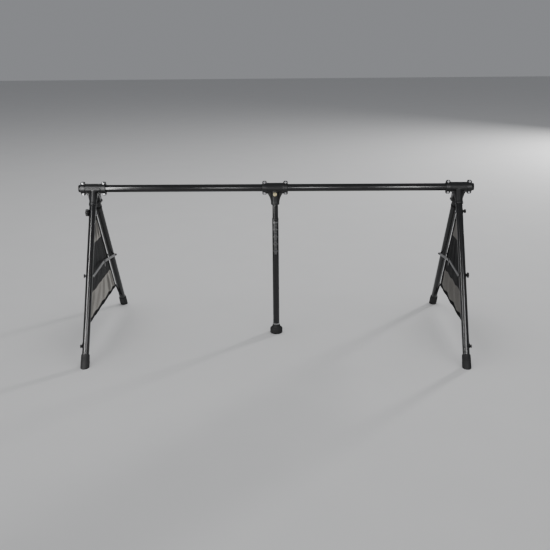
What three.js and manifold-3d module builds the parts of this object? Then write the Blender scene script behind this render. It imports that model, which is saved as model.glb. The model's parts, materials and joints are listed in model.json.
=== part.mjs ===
// A free-standing bicycle event rack: a long horizontal tube on two folding A-frames and a
// telescoping middle leg. Millimetres, +Z up. +X runs along the bar, +Y towards the rear legs,
// and the origin is on the floor under the middle of the bar.
//
// Across each A-frame, a place is given by "depth": the distance from the plane of the legs
// towards the middle of the rack. The banner is at depth 0 and the outer side is negative.

import * as THREE from 'three';
import { mergeVertices } from 'three/addons/utils/BufferGeometryUtils.js';
import Module from 'manifold-3d';

// ---- driving dimensions -------------------------------------------------------------------

const BAR_HEIGHT = 1040; // axis of the bar above the floor
const HALF_SPAN = 1214; // middle of the rack to the plane of each A-frame
const FOOT_SPREAD = 576; // where a leg's axis meets the floor, in front of or behind the bar
const BAR_RADIUS = 25;
const BAR_WALL = 2.5;
const BAR_END = 1308; // outer end of each bar tube
const END_CAP_THICKNESS = 4.7;
const END_CAP_SPIGOT = 24;
const END_CAP_EDGE = 1.5;
const LEG_RADIUS = 22.5;
const LEG_WALL = 2.5;
const FIT_GAP = 0.3; // between pieces that touch
const SPLIT_GAP = 1; // from the split plane of a coupler to each of its shells

const COUPLER_LENGTH = 170;
const COUPLER_RADIUS = 30.5;
const COUPLER_BORE = BAR_RADIUS + FIT_GAP;
const EAR_OFFSET = 70; // bolts along the bar, from the middle of the coupler
const EAR_HEIGHT = 36; // bolts above and below the axis of the bar
const EAR_RADIUS = 9.5;
const EAR_HALF_WIDTH = 15;
const EAR_ROOT = 20; // height above the bar's axis where an ear grows out of the sleeve
const BAND_RADIUS = 32.5; // thicker band of the sleeve between an upper and a lower ear
const EAR_THICKNESS = 10;
const RAIL_HALF_WIDTH = 5.5; // rail between the ears, along the top and bottom of the sleeve
const RAIL_RISE = 2.5;
const PAD_HALF_LENGTH = 48; // raised pad on the front of a coupler
const PAD_BELOW = 9;
const PAD_ABOVE = 11;
const PAD_RISE = 2;
const PAD_ROOT = 8;
const BOLT_RADIUS = 3.9;
const BOLT_HOLE_RADIUS = 4.3;
const BOLT_HEAD_RADIUS = 7.5;
const BOLT_HEAD_THICKNESS = 6;
const BOLT_TAIL = 2; // past its nut
const SPOT_FACE_RADIUS = 8.6; // flat seat sunk in a band for a bolt head or nut

const STEM_RADIUS = 25.7; // socket of the front leg, measured down the leg from the bar's axis
const STEM_LENGTH = 118;
const STEM_EDGE = 2;
const SOCKET_START = 46;
const WEB_HALF_THICKNESS = 4.5; // web that braces the socket under the sleeve
const WEB_HALF_WIDTH = 58;
const WEB_TOP = 20;
const WEB_BOTTOM = 80;
const HINGE_HEIGHT = 950; // hinge of a rear leg, on the leg's own axis
const HINGE_PIN_RADIUS = 5;
const HINGE_PIN_HEAD_RADIUS = 9;
const HINGE_PIN_HEAD_THICKNESS = 6;
const LUG_INNER = 24.2;
const LUG_OUTER = 33;
const LUG_RADIUS = 17;
const LEG_HEAD_RADIUS = 23;
const LEG_HEAD_LENGTH = 40;
const LEG_HEAD_SPIGOT = 50;

const CAP_RADIUS = 28.5; // rubber cap on each leg
const CAP_LENGTH = 84;
const CAP_TAPER = 10;
const CAP_TAPER_DEPTH = 2.5;
const LEG_END = 20; // lower end of a leg tube, up the leg from the floor

const FRONT_PIVOT_HEIGHT = 520; // spreader pivots, on the axes of the legs
const REAR_PIVOT_HEIGHT = 486;
const KNEE = { y: 10, z: 532 };
const LINK_RADIUS = 9;
const LINK_THICKNESS = 4;
const FRONT_LINK_DEPTH = 25.5;
const REAR_LINK_DEPTH = 30.5;
const PIVOT_RADIUS = 4;
const PIVOT_HOLE_RADIUS = 4.4;
const BOSS_RADIUS = 8;
const BOSS_RISE = 4; // past the inner face of the front link
const KNEE_PIN_HEAD_THICKNESS = 2.4;
const SPREADER_BOLT_HEAD_THICKNESS = 5;
const TAB_DROP = 36;
const TAB_SLANT = 3;
const TAB_RADIUS = 7;

const KNOBS = {
  left_spreader: { radius: 15, lobe: 1.6, hubRadius: 8.5, hub: 5, grip: 8 },
  left_banner: { radius: 27.5, lobe: 3, hubRadius: 20, hub: 2.5, grip: 18.5 },
  right_spreader: { radius: 20.5, lobe: 2.4, hubRadius: 11, hub: 6, grip: 11 },
  right_banner: { radius: 15, lobe: 1.6, hubRadius: 8.5, hub: 6, grip: 12 },
};
const KNOB_LOBES = 6;
const KNOB_GAP = 0.5; // from a knob's hub to the leg
const KNOB_STUD_TAIL = 3; // spreader knob's stud, past the front link
const UPPER_KNOB_HEIGHT = 894;
const UPPER_KNOB_NUT_RADIUS = 7;
const UPPER_KNOB_NUT_THICKNESS = 4;

const PEG_HEIGHT = 118;
const PEG_STEM_RADIUS = 6;
const PEG_STEM_LENGTH = 8;
const PEG_SHANK = 5; // inside the leg's wall
const PEG_HEAD_RADIUS = 13;
const PEG_HEAD_THICKNESS = 6;
const PEG_HEAD_EDGE = 4;
const REAR_PEG_HEAD_RADIUS = 10;

const BANNER_TOP = 842;
const BANNER_BOTTOM = 208;
const BANNER_EDGE_OFFSET = 55; // from a leg's axis to the edge of the banner
const BANNER_THICKNESS = 4;
const BANNER_OUTSET = 14; // from the legs' middle plane towards their knobs

const NECK_RADIUS = 29; // holds the middle leg, below the centre coupler
const NECK_DROP = 113;
const NECK_EDGE = 3;
const NECK_TOP = 15; // below the bar's axis, inside the sleeve
const GUSSET_HALF_WIDTH = 62;
const GUSSET_HALF_THICKNESS = 8;
const GUSSET_TOP = 28;
const GUSSET_BEND = 48;
const GUSSET_BOTTOM = 98;
const UPPER_TUBE_RADIUS = 20;
const UPPER_TUBE_WALL = 2;
const UPPER_TUBE_TOP = BAR_HEIGHT - 27.5;
const UPPER_TUBE_BOTTOM = 480;
const LOWER_TUBE_RADIUS = 22.5;
const LOWER_TUBE_WALL = 2;
const LOWER_TUBE_TOP = 824;
const GUIDE_RING_RISE = 0.8;
const GUIDE_RING_HEIGHT = 7;
const NECK_SCREW_DROP = 38;
const NECK_SCREW_RADIUS = 5;
const NECK_SCREW_HEAD_RADIUS = 13;
const NECK_SCREW_HEAD_THICKNESS = 9;
const NECK_SCREW_NUT_RADIUS = 9;
const NECK_SCREW_NUT_THICKNESS = 7;
const FOOT_RADIUS = 43.5;
const FOOT_HEIGHT = 62;
const PLUG_COLLAR_RADIUS = 24;
const PLUG_COLLAR_HEIGHT = 10;
const PLUG_SPIGOT_HEIGHT = 28;
const PLUG_GAP = 1; // between the foot and the plug
const STUD_RADIUS = 6;
const STUD_SEAT = 20; // bottom of the stud's hole in the foot
const STUD_TAIL = 10;

const FINE = 24; // sides of the large round shapes
const COARSE = 10; // sides of the small ones
const HEXAGON = 6;
const FAR = 400; // longer than any piece that is trimmed
const PAST = 5; // how far a blind cut runs out of the piece

const SIDES = { left: -1, right: 1 };
const FRONT = -1;
const REAR = 1;
const LEAN = Math.atan2(FOOT_SPREAD, BAR_HEIGHT);
const LEG_LENGTH = BAR_HEIGHT / Math.cos(LEAN);

// ---- materials ----------------------------------------------------------------------------

function finish(color, roughness, metalness) {
  return new THREE.MeshStandardMaterial({ color, roughness, metalness });
}

const tubeFinish = finish(0x26272a, 0.38, 0.85);
const castFinish = finish(0x2b2c2e, 0.55, 0.6);
const boltFinish = finish(0x6e7074, 0.35, 0.9);
const linkFinish = finish(0x9a9b9c, 0.4, 0.8);
const brassFinish = finish(0xb8aa7c, 0.35, 0.9);
const rubberFinish = finish(0x1b1b1c, 0.85, 0);
const plasticFinish = finish(0x202123, 0.6, 0);
const palePlasticFinish = finish(0x8a8a8a, 0.55, 0);
const fabricFinish = finish(0x77756f, 0.9, 0);

// ---- solids -------------------------------------------------------------------------------

const wasm = await Module();
wasm.setup();

/** A closed three.js geometry as a solid that can be joined and cut. */
function solid(geometry) {
  const bare = geometry.clone();
  bare.deleteAttribute('normal');
  bare.deleteAttribute('uv');
  const merged = mergeVertices(bare, 1e-4);
  const corners = merged.index.array;
  const triangles = [];
  for (let i = 0; i < corners.length; i += 3) {
    const [a, b, c] = [corners[i], corners[i + 1], corners[i + 2]];
    if (a !== b && b !== c && c !== a) triangles.push(a, b, c);
  }
  return new wasm.Manifold(new wasm.Mesh({
    numProp: 3,
    vertProperties: new Float32Array(merged.attributes.position.array),
    triVerts: new Uint32Array(triangles),
  }));
}

function geometryOf(body) {
  const mesh = body.getMesh();
  const geometry = new THREE.BufferGeometry();
  geometry.setAttribute('position', new THREE.BufferAttribute(new Float32Array(mesh.vertProperties), 3));
  geometry.setIndex(new THREE.BufferAttribute(new Uint32Array(mesh.triVerts), 1));
  return geometry;
}

function join(...bodies) {
  return bodies.reduce((whole, body) => whole.add(body));
}

function cut(body, ...tools) {
  return tools.reduce((rest, tool) => rest.subtract(tool), body);
}

const point = (x, y, z) => new THREE.Vector3(x, y, z);

/** A solid of revolution. The profile is [radius, distance] pairs along the line from start. */
function turned(start, direction, profile, sides = FINE) {
  const outline = profile.map(([radius, distance]) => new THREE.Vector2(radius, distance));
  const geometry = new THREE.LatheGeometry(outline, sides);
  const turn = new THREE.Quaternion().setFromUnitVectors(point(0, 1, 0), direction.clone().normalize());
  geometry.applyQuaternion(turn);
  geometry.translate(start.x, start.y, start.z);
  return solid(geometry);
}

function rod(start, end, radius, sides = FINE) {
  const along = end.clone().sub(start);
  const length = along.length();
  return turned(start, along, [[0, 0], [radius, 0], [radius, length], [0, length]], sides);
}

function pipe(start, end, outer, inner, sides = FINE) {
  const along = end.clone().sub(start);
  const length = along.length();
  return turned(start, along, [[inner, 0], [outer, 0], [outer, length], [inner, length], [inner, 0]], sides);
}

function block(low, high) {
  const size = high.clone().sub(low);
  const geometry = new THREE.BoxGeometry(size.x, size.y, size.z);
  geometry.translate((low.x + high.x) / 2, (low.y + high.y) / 2, (low.z + high.z) / 2);
  return solid(geometry);
}

/** An outline of [across, up] points, extruded from start along across x up. */
function extruded(outline, start, across, up, depth) {
  const shape = new THREE.Shape(outline.map(([x, y]) => new THREE.Vector2(x, y)));
  const geometry = new THREE.ExtrudeGeometry(shape, { depth, bevelEnabled: false });
  const out = across.clone().cross(up);
  geometry.applyMatrix4(new THREE.Matrix4().makeBasis(across, up, out).setPosition(start));
  return solid(geometry);
}

const X_AXIS = point(1, 0, 0);
const Y_AXIS = point(0, 1, 0);
const Z_AXIS = point(0, 0, 1);

function arc(x, y, radius, from, to, steps) {
  return Array.from({ length: steps + 1 }, (_, i) => {
    const angle = from + ((to - from) * i) / steps;
    return [x + radius * Math.cos(angle), y + radius * Math.sin(angle)];
  });
}

/** The outline that wraps two circles, as a belt does. */
function belt(a, radiusA, b, radiusB, steps = 6) {
  const heading = Math.atan2(b[1] - a[1], b[0] - a[0]);
  const tilt = Math.acos((radiusA - radiusB) / Math.hypot(b[0] - a[0], b[1] - a[1]));
  const aroundA = arc(a[0], a[1], radiusA, heading + tilt, heading + 2 * Math.PI - tilt, steps);
  const aroundB = arc(b[0], b[1], radiusB, heading - tilt, heading + tilt, steps);
  return [...aroundA, ...aroundB];
}

// ---- placing ------------------------------------------------------------------------------

const rack = new THREE.Group();

function place(name, body, material, group = rack) {
  const mesh = new THREE.Mesh(geometryOf(body), material);
  mesh.name = name;
  group.add(mesh);
}

/** Unit vector up a leg, from its foot to the bar. */
const upLeg = (end) => point(0, -end * Math.sin(LEAN), Math.cos(LEAN));

/** A point on a leg's axis at a height above the floor. */
function onLeg(side, end, height) {
  return point(side * HALF_SPAN, end * FOOT_SPREAD * (1 - height / BAR_HEIGHT), height);
}

/** A point on a leg's axis at a distance up the leg from the floor. */
function upFromFloor(side, end, distance) {
  return onLeg(side, end, distance * Math.cos(LEAN));
}

/** The same point, moved by depth towards the middle of the rack. */
function inward(side, place3d, depth) {
  return place3d.clone().add(point(-side * depth, 0, 0));
}

/** A piece that crosses a leg: a rod between two depths. */
function across(side, centre, fromDepth, toDepth, radius, sides = COARSE) {
  return rod(inward(side, centre, fromDepth), inward(side, centre, toDepth), radius, sides);
}

/** A flat plate beside a leg, between two depths. Its outline is [y, z] points. */
function sidePlate(side, outline, fromDepth, toDepth) {
  const low = Math.min(-side * fromDepth, -side * toDepth);
  const start = point(side * HALF_SPAN + low, 0, 0);
  return extruded(outline, start, Y_AXIS, Z_AXIS, Math.abs(toDepth - fromDepth));
}

// ---- bar ----------------------------------------------------------------------------------

function barTube(side) {
  const start = point(side * 0.5, 0, BAR_HEIGHT);
  return pipe(start, point(side * BAR_END, 0, BAR_HEIGHT), BAR_RADIUS, BAR_RADIUS - BAR_WALL);
}

function barEndCap(side) {
  const at = (x) => point(side * x, 0, BAR_HEIGHT);
  const spigotRadius = BAR_RADIUS - BAR_WALL - FIT_GAP;
  const end = END_CAP_SPIGOT + END_CAP_THICKNESS;
  const profile = [
    [0, 0], [spigotRadius, 0], [spigotRadius, END_CAP_SPIGOT], [BAR_RADIUS, END_CAP_SPIGOT],
    [BAR_RADIUS, end - END_CAP_EDGE], [BAR_RADIUS - END_CAP_EDGE, end], [0, end],
  ];
  return turned(at(BAR_END + FIT_GAP - END_CAP_SPIGOT), point(side, 0, 0), profile);
}

// ---- couplers -----------------------------------------------------------------------------

/** One ear: a rounded tab that stands above or below the sleeve, with the bolt in its tip. */
function ear(centreX, upward, face) {
  const corner = EAR_HALF_WIDTH - EAR_RADIUS;
  const right = arc(corner, EAR_HEIGHT, EAR_RADIUS, 0, Math.PI / 2, 3);
  const left = arc(-corner, EAR_HEIGHT, EAR_RADIUS, Math.PI / 2, Math.PI, 3);
  const whole = [[EAR_HALF_WIDTH, EAR_ROOT], ...right, ...left, [-EAR_HALF_WIDTH, EAR_ROOT]];
  const outline = whole.map(([x, z]) => [x, z * upward]);
  const front = Math.max(0, face * EAR_THICKNESS);
  return extruded(outline, point(centreX, front, BAR_HEIGHT), X_AXIS, Z_AXIS, EAR_THICKNESS);
}

const EAR_PLACES = [-1, 1].flatMap((along) => [-1, 1].map((upward) => ({ along, upward })));

/** The clamping sleeve that every coupler shell starts from, before it is bored and split. */
function shellBlank(centreX, face) {
  const half = COUPLER_LENGTH / 2;
  const at = (x) => point(centreX + x, 0, BAR_HEIGHT);
  const sleeve = rod(at(-half), at(half), COUPLER_RADIUS);
  const bands = [-EAR_OFFSET, EAR_OFFSET].map((middle) => (
    rod(at(middle - EAR_HALF_WIDTH + FIT_GAP), at(middle + EAR_HALF_WIDTH - FIT_GAP), BAND_RADIUS)
  ));
  const ears = EAR_PLACES.map(({ along, upward }) => ear(centreX + along * EAR_OFFSET, upward, face));
  const railTop = COUPLER_RADIUS + RAIL_RISE;
  const rail = block(
    point(centreX - EAR_OFFSET, -RAIL_HALF_WIDTH, BAR_HEIGHT - railTop),
    point(centreX + EAR_OFFSET, RAIL_HALF_WIDTH, BAR_HEIGHT + railTop),
  );
  return join(sleeve, ...bands, rail, ...ears);
}

/** Bores the blank for the bar and its bolts and keeps the half on one face of the split. */
function boredShell(blank, centreX, face) {
  const atX = (x) => point(centreX + x, 0, BAR_HEIGHT);
  const bore = rod(atX(-COUPLER_LENGTH), atX(COUPLER_LENGTH), COUPLER_BORE);
  const holes = EAR_PLACES.flatMap(({ along, upward }) => {
    const at = (y) => point(centreX + along * EAR_OFFSET, y, BAR_HEIGHT + upward * EAR_HEIGHT);
    return [
      rod(at(-FAR), at(FAR), BOLT_HOLE_RADIUS, COARSE),
      rod(at(face * EAR_THICKNESS), at(face * FAR), SPOT_FACE_RADIUS),
    ];
  });
  const near = face * SPLIT_GAP;
  const far = face * FAR;
  const halfSpace = block(
    point(centreX - FAR, Math.min(near, far), BAR_HEIGHT - FAR),
    point(centreX + FAR, Math.max(near, far), BAR_HEIGHT + FAR),
  );
  return cut(blank, bore, ...holes).intersect(halfSpace);
}

/** The raised pad on the front of each coupler. */
function frontPad(centreX) {
  return block(
    point(centreX - PAD_HALF_LENGTH, -COUPLER_RADIUS - PAD_RISE, BAR_HEIGHT - PAD_BELOW),
    point(centreX + PAD_HALF_LENGTH, -COUPLER_RADIUS + PAD_ROOT, BAR_HEIGHT + PAD_ABOVE),
  );
}

function endFrontShell(side) {
  const x = side * HALF_SPAN;
  const top = point(x, 0, BAR_HEIGHT);
  const up = upLeg(FRONT);
  const down = up.clone().negate();
  const at = (distance) => top.clone().addScaledVector(down, distance);
  const stem = turned(top, down, [
    [0, 0], [STEM_RADIUS, 0], [STEM_RADIUS, STEM_LENGTH - STEM_EDGE],
    [STEM_RADIUS - STEM_EDGE, STEM_LENGTH], [0, STEM_LENGTH],
  ]);
  const webFoot = STEM_RADIUS - STEM_EDGE;
  const webOutline = [
    [-WEB_HALF_WIDTH, -WEB_TOP], [-webFoot, -WEB_BOTTOM], [webFoot, -WEB_BOTTOM], [WEB_HALF_WIDTH, -WEB_TOP],
  ];
  const webStart = top.clone().addScaledVector(X_AXIS.clone().cross(up), -WEB_HALF_THICKNESS);
  const web = extruded(webOutline, webStart, X_AXIS, up, 2 * WEB_HALF_THICKNESS);
  const socket = rod(at(SOCKET_START), at(STEM_LENGTH + PAST), LEG_RADIUS + FIT_GAP);
  const blank = cut(join(shellBlank(x, FRONT), frontPad(x), stem, web), socket);
  return boredShell(blank, x, FRONT);
}

function endRearShell(side) {
  const x = side * HALF_SPAN;
  const hinge = onLeg(side, REAR, HINGE_HEIGHT);
  const outline = belt([0, BAR_HEIGHT], COUPLER_RADIUS - 0.5, [hinge.y, hinge.z], LUG_RADIUS);
  const lugs = [1, -1].map((hand) => sidePlate(side, outline, hand * LUG_INNER, hand * LUG_OUTER));
  const pinHole = across(side, hinge, -FAR, FAR, HINGE_PIN_RADIUS + FIT_GAP);
  const blank = cut(join(shellBlank(x, REAR), ...lugs), pinHole);
  return boredShell(blank, x, REAR);
}

function centreShell(face) {
  const top = point(0, 0, BAR_HEIGHT);
  const neckBottom = point(0, 0, BAR_HEIGHT - NECK_DROP);
  const neck = turned(neckBottom, Z_AXIS, [
    [0, 0], [NECK_RADIUS - NECK_EDGE, 0], [NECK_RADIUS, NECK_EDGE], [NECK_RADIUS, NECK_DROP - NECK_TOP],
    [0, NECK_DROP - NECK_TOP],
  ]);
  const curve = new THREE.QuadraticBezierCurve(
    new THREE.Vector2(GUSSET_HALF_WIDTH, -GUSSET_TOP),
    new THREE.Vector2(NECK_RADIUS + NECK_EDGE, -GUSSET_BEND),
    new THREE.Vector2(NECK_RADIUS - NECK_EDGE, -GUSSET_BOTTOM),
  );
  const edge = curve.getPoints(5).map((p) => [p.x, p.y]);
  const outline = [...edge, ...edge.map(([x, z]) => [-x, z]).reverse()];
  const gussetStart = point(0, GUSSET_HALF_THICKNESS, BAR_HEIGHT);
  const gusset = extruded(outline, gussetStart, X_AXIS, Z_AXIS, 2 * GUSSET_HALF_THICKNESS);
  const legBore = rod(neckBottom.clone().sub(Z_AXIS), top, UPPER_TUBE_RADIUS + FIT_GAP);
  const screwZ = BAR_HEIGHT - NECK_SCREW_DROP;
  const screwHole = rod(point(0, -FAR, screwZ), point(0, FAR, screwZ), NECK_SCREW_RADIUS + FIT_GAP, COARSE);
  const pieces = [shellBlank(0, face), neck, gusset];
  if (face === FRONT) pieces.push(frontPad(0));
  return boredShell(cut(join(...pieces), legBore, screwHole), 0, face);
}

/** A hexagon bolt through both shells, with its nut at the back. */
function couplerBolt(x, upward) {
  const z = BAR_HEIGHT + upward * EAR_HEIGHT;
  const at = (y) => point(x, y, z);
  const seat = EAR_THICKNESS + FIT_GAP;
  const head = seat + BOLT_HEAD_THICKNESS;
  return join(
    rod(at(-head), at(-seat), BOLT_HEAD_RADIUS, HEXAGON),
    rod(at(-seat - 1), at(head + BOLT_TAIL), BOLT_RADIUS, COARSE),
    rod(at(seat), at(head), BOLT_HEAD_RADIUS, HEXAGON),
  );
}

// ---- legs ---------------------------------------------------------------------------------

function frontLeg(side) {
  const bottom = upFromFloor(side, FRONT, LEG_END);
  const top = upFromFloor(side, FRONT, LEG_LENGTH - SOCKET_START - 1);
  const holes = [UPPER_KNOB_HEIGHT, FRONT_PIVOT_HEIGHT].map((height) => (
    across(side, onLeg(side, FRONT, height), -FAR, FAR, PIVOT_HOLE_RADIUS)
  ));
  const pegHole = across(side, onLeg(side, FRONT, PEG_HEIGHT), -LEG_RADIUS - PAST, -PAST, PIVOT_HOLE_RADIUS);
  return cut(pipe(bottom, top, LEG_RADIUS, LEG_RADIUS - LEG_WALL), ...holes, pegHole);
}

function rearLeg(side) {
  const hinge = onLeg(side, REAR, HINGE_HEIGHT);
  const bottom = upFromFloor(side, REAR, LEG_END);
  const top = hinge.clone().addScaledVector(upLeg(REAR), -LEG_HEAD_LENGTH - FIT_GAP);
  const pivotHole = across(side, onLeg(side, REAR, REAR_PIVOT_HEIGHT), -FAR, FAR, PIVOT_HOLE_RADIUS);
  const pegFoot = onLeg(side, REAR, PEG_HEIGHT);
  const pegHead = pegFoot.clone().addScaledVector(forwardOf(REAR), LEG_RADIUS + PAST);
  const pegHole = rod(pegFoot, pegHead, PIVOT_HOLE_RADIUS, COARSE);
  return cut(pipe(bottom, top, LEG_RADIUS, LEG_RADIUS - LEG_WALL), pivotHole, pegHole);
}

/** Unit vector square to a leg, in the plane of the A-frame, towards the other leg. */
function forwardOf(end) {
  return point(0, -end * Math.cos(LEAN), -Math.sin(LEAN));
}

/** The hinge tongue: a round head with a spigot inside the leg tube. */
function rearLegHead(side) {
  const hinge = onLeg(side, REAR, HINGE_HEIGHT);
  const down = upLeg(REAR).negate();
  const spigotRadius = LEG_RADIUS - LEG_WALL - FIT_GAP;
  const shank = turned(hinge, down, [
    [0, 0], [LEG_HEAD_RADIUS, 0], [LEG_HEAD_RADIUS, LEG_HEAD_LENGTH], [spigotRadius, LEG_HEAD_LENGTH],
    [spigotRadius, LEG_HEAD_LENGTH + LEG_HEAD_SPIGOT], [0, LEG_HEAD_LENGTH + LEG_HEAD_SPIGOT],
  ]);
  const knuckle = across(side, hinge, -LEG_HEAD_RADIUS, LEG_HEAD_RADIUS, LEG_HEAD_RADIUS, FINE);
  return cut(join(shank, knuckle), across(side, hinge, -FAR, FAR, HINGE_PIN_RADIUS + FIT_GAP));
}

function hingePin(side) {
  const hinge = onLeg(side, REAR, HINGE_HEIGHT);
  const seat = LUG_OUTER + FIT_GAP;
  const head = seat + HINGE_PIN_HEAD_THICKNESS;
  return join(
    across(side, hinge, -head, -seat, HINGE_PIN_HEAD_RADIUS, HEXAGON),
    across(side, hinge, -seat - 1, seat + 1, HINGE_PIN_RADIUS),
    across(side, hinge, seat, head, HINGE_PIN_HEAD_RADIUS, HEXAGON),
  );
}

/** A rubber cup on a leg, cut flat where it stands on the floor. */
function legCap(side, end) {
  const below = 40;
  const start = upFromFloor(side, end, -below);
  const bore = LEG_RADIUS + FIT_GAP;
  const seat = below + LEG_END - FIT_GAP;
  const top = below + CAP_LENGTH;
  const cup = turned(start, upLeg(end), [
    [0, 0], [CAP_RADIUS, 0], [CAP_RADIUS, top - CAP_TAPER], [CAP_RADIUS - CAP_TAPER_DEPTH, top],
    [bore, top], [bore, seat], [0, seat],
  ]);
  const underFloor = block(
    point(start.x - FAR, start.y - FAR, -FAR),
    point(start.x + FAR, start.y + FAR, 0),
  );
  return cut(cup, underFloor);
}

// ---- spreaders ----------------------------------------------------------------------------

function pivotOf(side, end) {
  return onLeg(side, end, end === FRONT ? FRONT_PIVOT_HEIGHT : REAR_PIVOT_HEIGHT);
}

function link(side, end, depth) {
  const pivot = pivotOf(side, end);
  const bar = belt([pivot.y, pivot.z], LINK_RADIUS, [KNEE.y, KNEE.z], LINK_RADIUS);
  return sidePlate(side, bar, depth, depth + LINK_THICKNESS);
}

const kneeOf = (side) => point(side * HALF_SPAN, KNEE.y, KNEE.z);

/** The front link carries the threaded boss for its knob and the pull tab under the knee. */
function frontLink(side) {
  const pivot = pivotOf(side, FRONT);
  const far = FRONT_LINK_DEPTH + LINK_THICKNESS;
  const tab = belt([KNEE.y, KNEE.z], TAB_RADIUS, [KNEE.y + TAB_SLANT, KNEE.z - TAB_DROP], TAB_RADIUS);
  const body = join(
    link(side, FRONT, FRONT_LINK_DEPTH),
    sidePlate(side, tab, FRONT_LINK_DEPTH, far),
    across(side, pivot, LEG_RADIUS + 2 * FIT_GAP, far + BOSS_RISE, BOSS_RADIUS),
  );
  return cut(
    body,
    across(side, pivot, -FAR, FAR, PIVOT_HOLE_RADIUS),
    across(side, kneeOf(side), -FAR, FAR, PIVOT_HOLE_RADIUS),
  );
}

function rearLink(side) {
  return cut(
    link(side, REAR, REAR_LINK_DEPTH),
    across(side, pivotOf(side, REAR), -FAR, FAR, PIVOT_HOLE_RADIUS),
    across(side, kneeOf(side), -FAR, FAR, PIVOT_HOLE_RADIUS),
  );
}

/** The knee pin is riveted in the front link and stops short of the rear one. */
function kneePin(side) {
  const seat = FRONT_LINK_DEPTH - FIT_GAP;
  return join(
    across(side, kneeOf(side), seat - KNEE_PIN_HEAD_THICKNESS, seat, BOSS_RADIUS),
    across(side, kneeOf(side), seat - 1, REAR_LINK_DEPTH - FIT_GAP, PIVOT_RADIUS),
  );
}

/** The shouldered bolt of the rear link, through the rear leg. */
function spreaderBolt(side) {
  const centre = pivotOf(side, REAR);
  const outer = LEG_RADIUS + FIT_GAP;
  const nutSeat = REAR_LINK_DEPTH + LINK_THICKNESS + FIT_GAP;
  return join(
    across(side, centre, -outer - SPREADER_BOLT_HEAD_THICKNESS, -outer, BOSS_RADIUS),
    across(side, centre, -outer - 1, nutSeat + 1, PIVOT_RADIUS),
    across(side, centre, outer, REAR_LINK_DEPTH - FIT_GAP, BOSS_RADIUS),
    across(side, centre, nutSeat, nutSeat + SPREADER_BOLT_HEAD_THICKNESS, BOSS_RADIUS, HEXAGON),
  );
}

// ---- knobs and pegs -----------------------------------------------------------------------

/** A lobed hand knob on the outer side of a leg, with its stud running through to a depth. */
function knob(side, size, height, studDepth) {
  const centre = onLeg(side, FRONT, height);
  const hubSeat = LEG_RADIUS + KNOB_GAP;
  const gripSeat = hubSeat + size.hub;
  const pointsPerLobe = 4;
  const outline = Array.from({ length: KNOB_LOBES * pointsPerLobe }, (_, i) => {
    const angle = (2 * Math.PI * i) / (KNOB_LOBES * pointsPerLobe);
    const radius = size.radius + size.lobe * Math.cos(KNOB_LOBES * angle);
    return [centre.y + radius * Math.cos(angle), centre.z + radius * Math.sin(angle)];
  });
  return join(
    sidePlate(side, outline, -gripSeat, -gripSeat - size.grip),
    across(side, centre, -gripSeat - 1, -hubSeat, size.hubRadius),
    across(side, centre, -hubSeat - 1, studDepth, PIVOT_RADIUS),
  );
}

/** The upper knob's stud ends in a nut on the inner side of the leg. */
function upperKnob(side, size) {
  const centre = onLeg(side, FRONT, UPPER_KNOB_HEIGHT);
  const seat = LEG_RADIUS + FIT_GAP;
  const nutEnd = seat + UPPER_KNOB_NUT_THICKNESS;
  return join(
    knob(side, size, UPPER_KNOB_HEIGHT, nutEnd + 1),
    across(side, centre, seat, nutEnd, UPPER_KNOB_NUT_RADIUS, HEXAGON),
  );
}

/** A mushroom peg riveted in a leg's wall. It holds a banner strap. */
function peg(start, direction, headRadius) {
  const stem = LEG_RADIUS + FIT_GAP;
  const head = stem + PEG_STEM_LENGTH;
  const face = head + PEG_HEAD_THICKNESS;
  const profile = [
    [0, stem - PEG_SHANK], [PIVOT_RADIUS, stem - PEG_SHANK], [PIVOT_RADIUS, stem], [PEG_STEM_RADIUS, stem],
    [PEG_STEM_RADIUS, head], [headRadius, head + 1], [headRadius, face - PEG_HEAD_EDGE / 2],
    [headRadius - PEG_HEAD_EDGE, face], [0, face],
  ];
  return turned(start, direction, profile, COARSE);
}

// ---- banners ------------------------------------------------------------------------------

/** The fabric that fills the A-frame between the legs, as a thin trapezium on their knob side. */
function banner(side) {
  const offset = BANNER_EDGE_OFFSET / Math.cos(LEAN);
  const halfWidth = (height) => onLeg(side, REAR, height).y - offset;
  const outline = [
    [-halfWidth(BANNER_BOTTOM), BANNER_BOTTOM], [halfWidth(BANNER_BOTTOM), BANNER_BOTTOM],
    [halfWidth(BANNER_TOP), BANNER_TOP], [-halfWidth(BANNER_TOP), BANNER_TOP],
  ];
  const near = -BANNER_OUTSET + BANNER_THICKNESS / 2;
  return sidePlate(side, outline, near - BANNER_THICKNESS, near);
}

// ---- middle leg ---------------------------------------------------------------------------

const onAxis = (z) => point(0, 0, z);

function upperTube() {
  const screwZ = BAR_HEIGHT - NECK_SCREW_DROP;
  const hole = rod(point(0, -FAR, screwZ), point(0, FAR, screwZ), NECK_SCREW_RADIUS + FIT_GAP, COARSE);
  const inner = UPPER_TUBE_RADIUS - UPPER_TUBE_WALL;
  return cut(pipe(onAxis(UPPER_TUBE_BOTTOM), onAxis(UPPER_TUBE_TOP), UPPER_TUBE_RADIUS, inner), hole);
}

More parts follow.
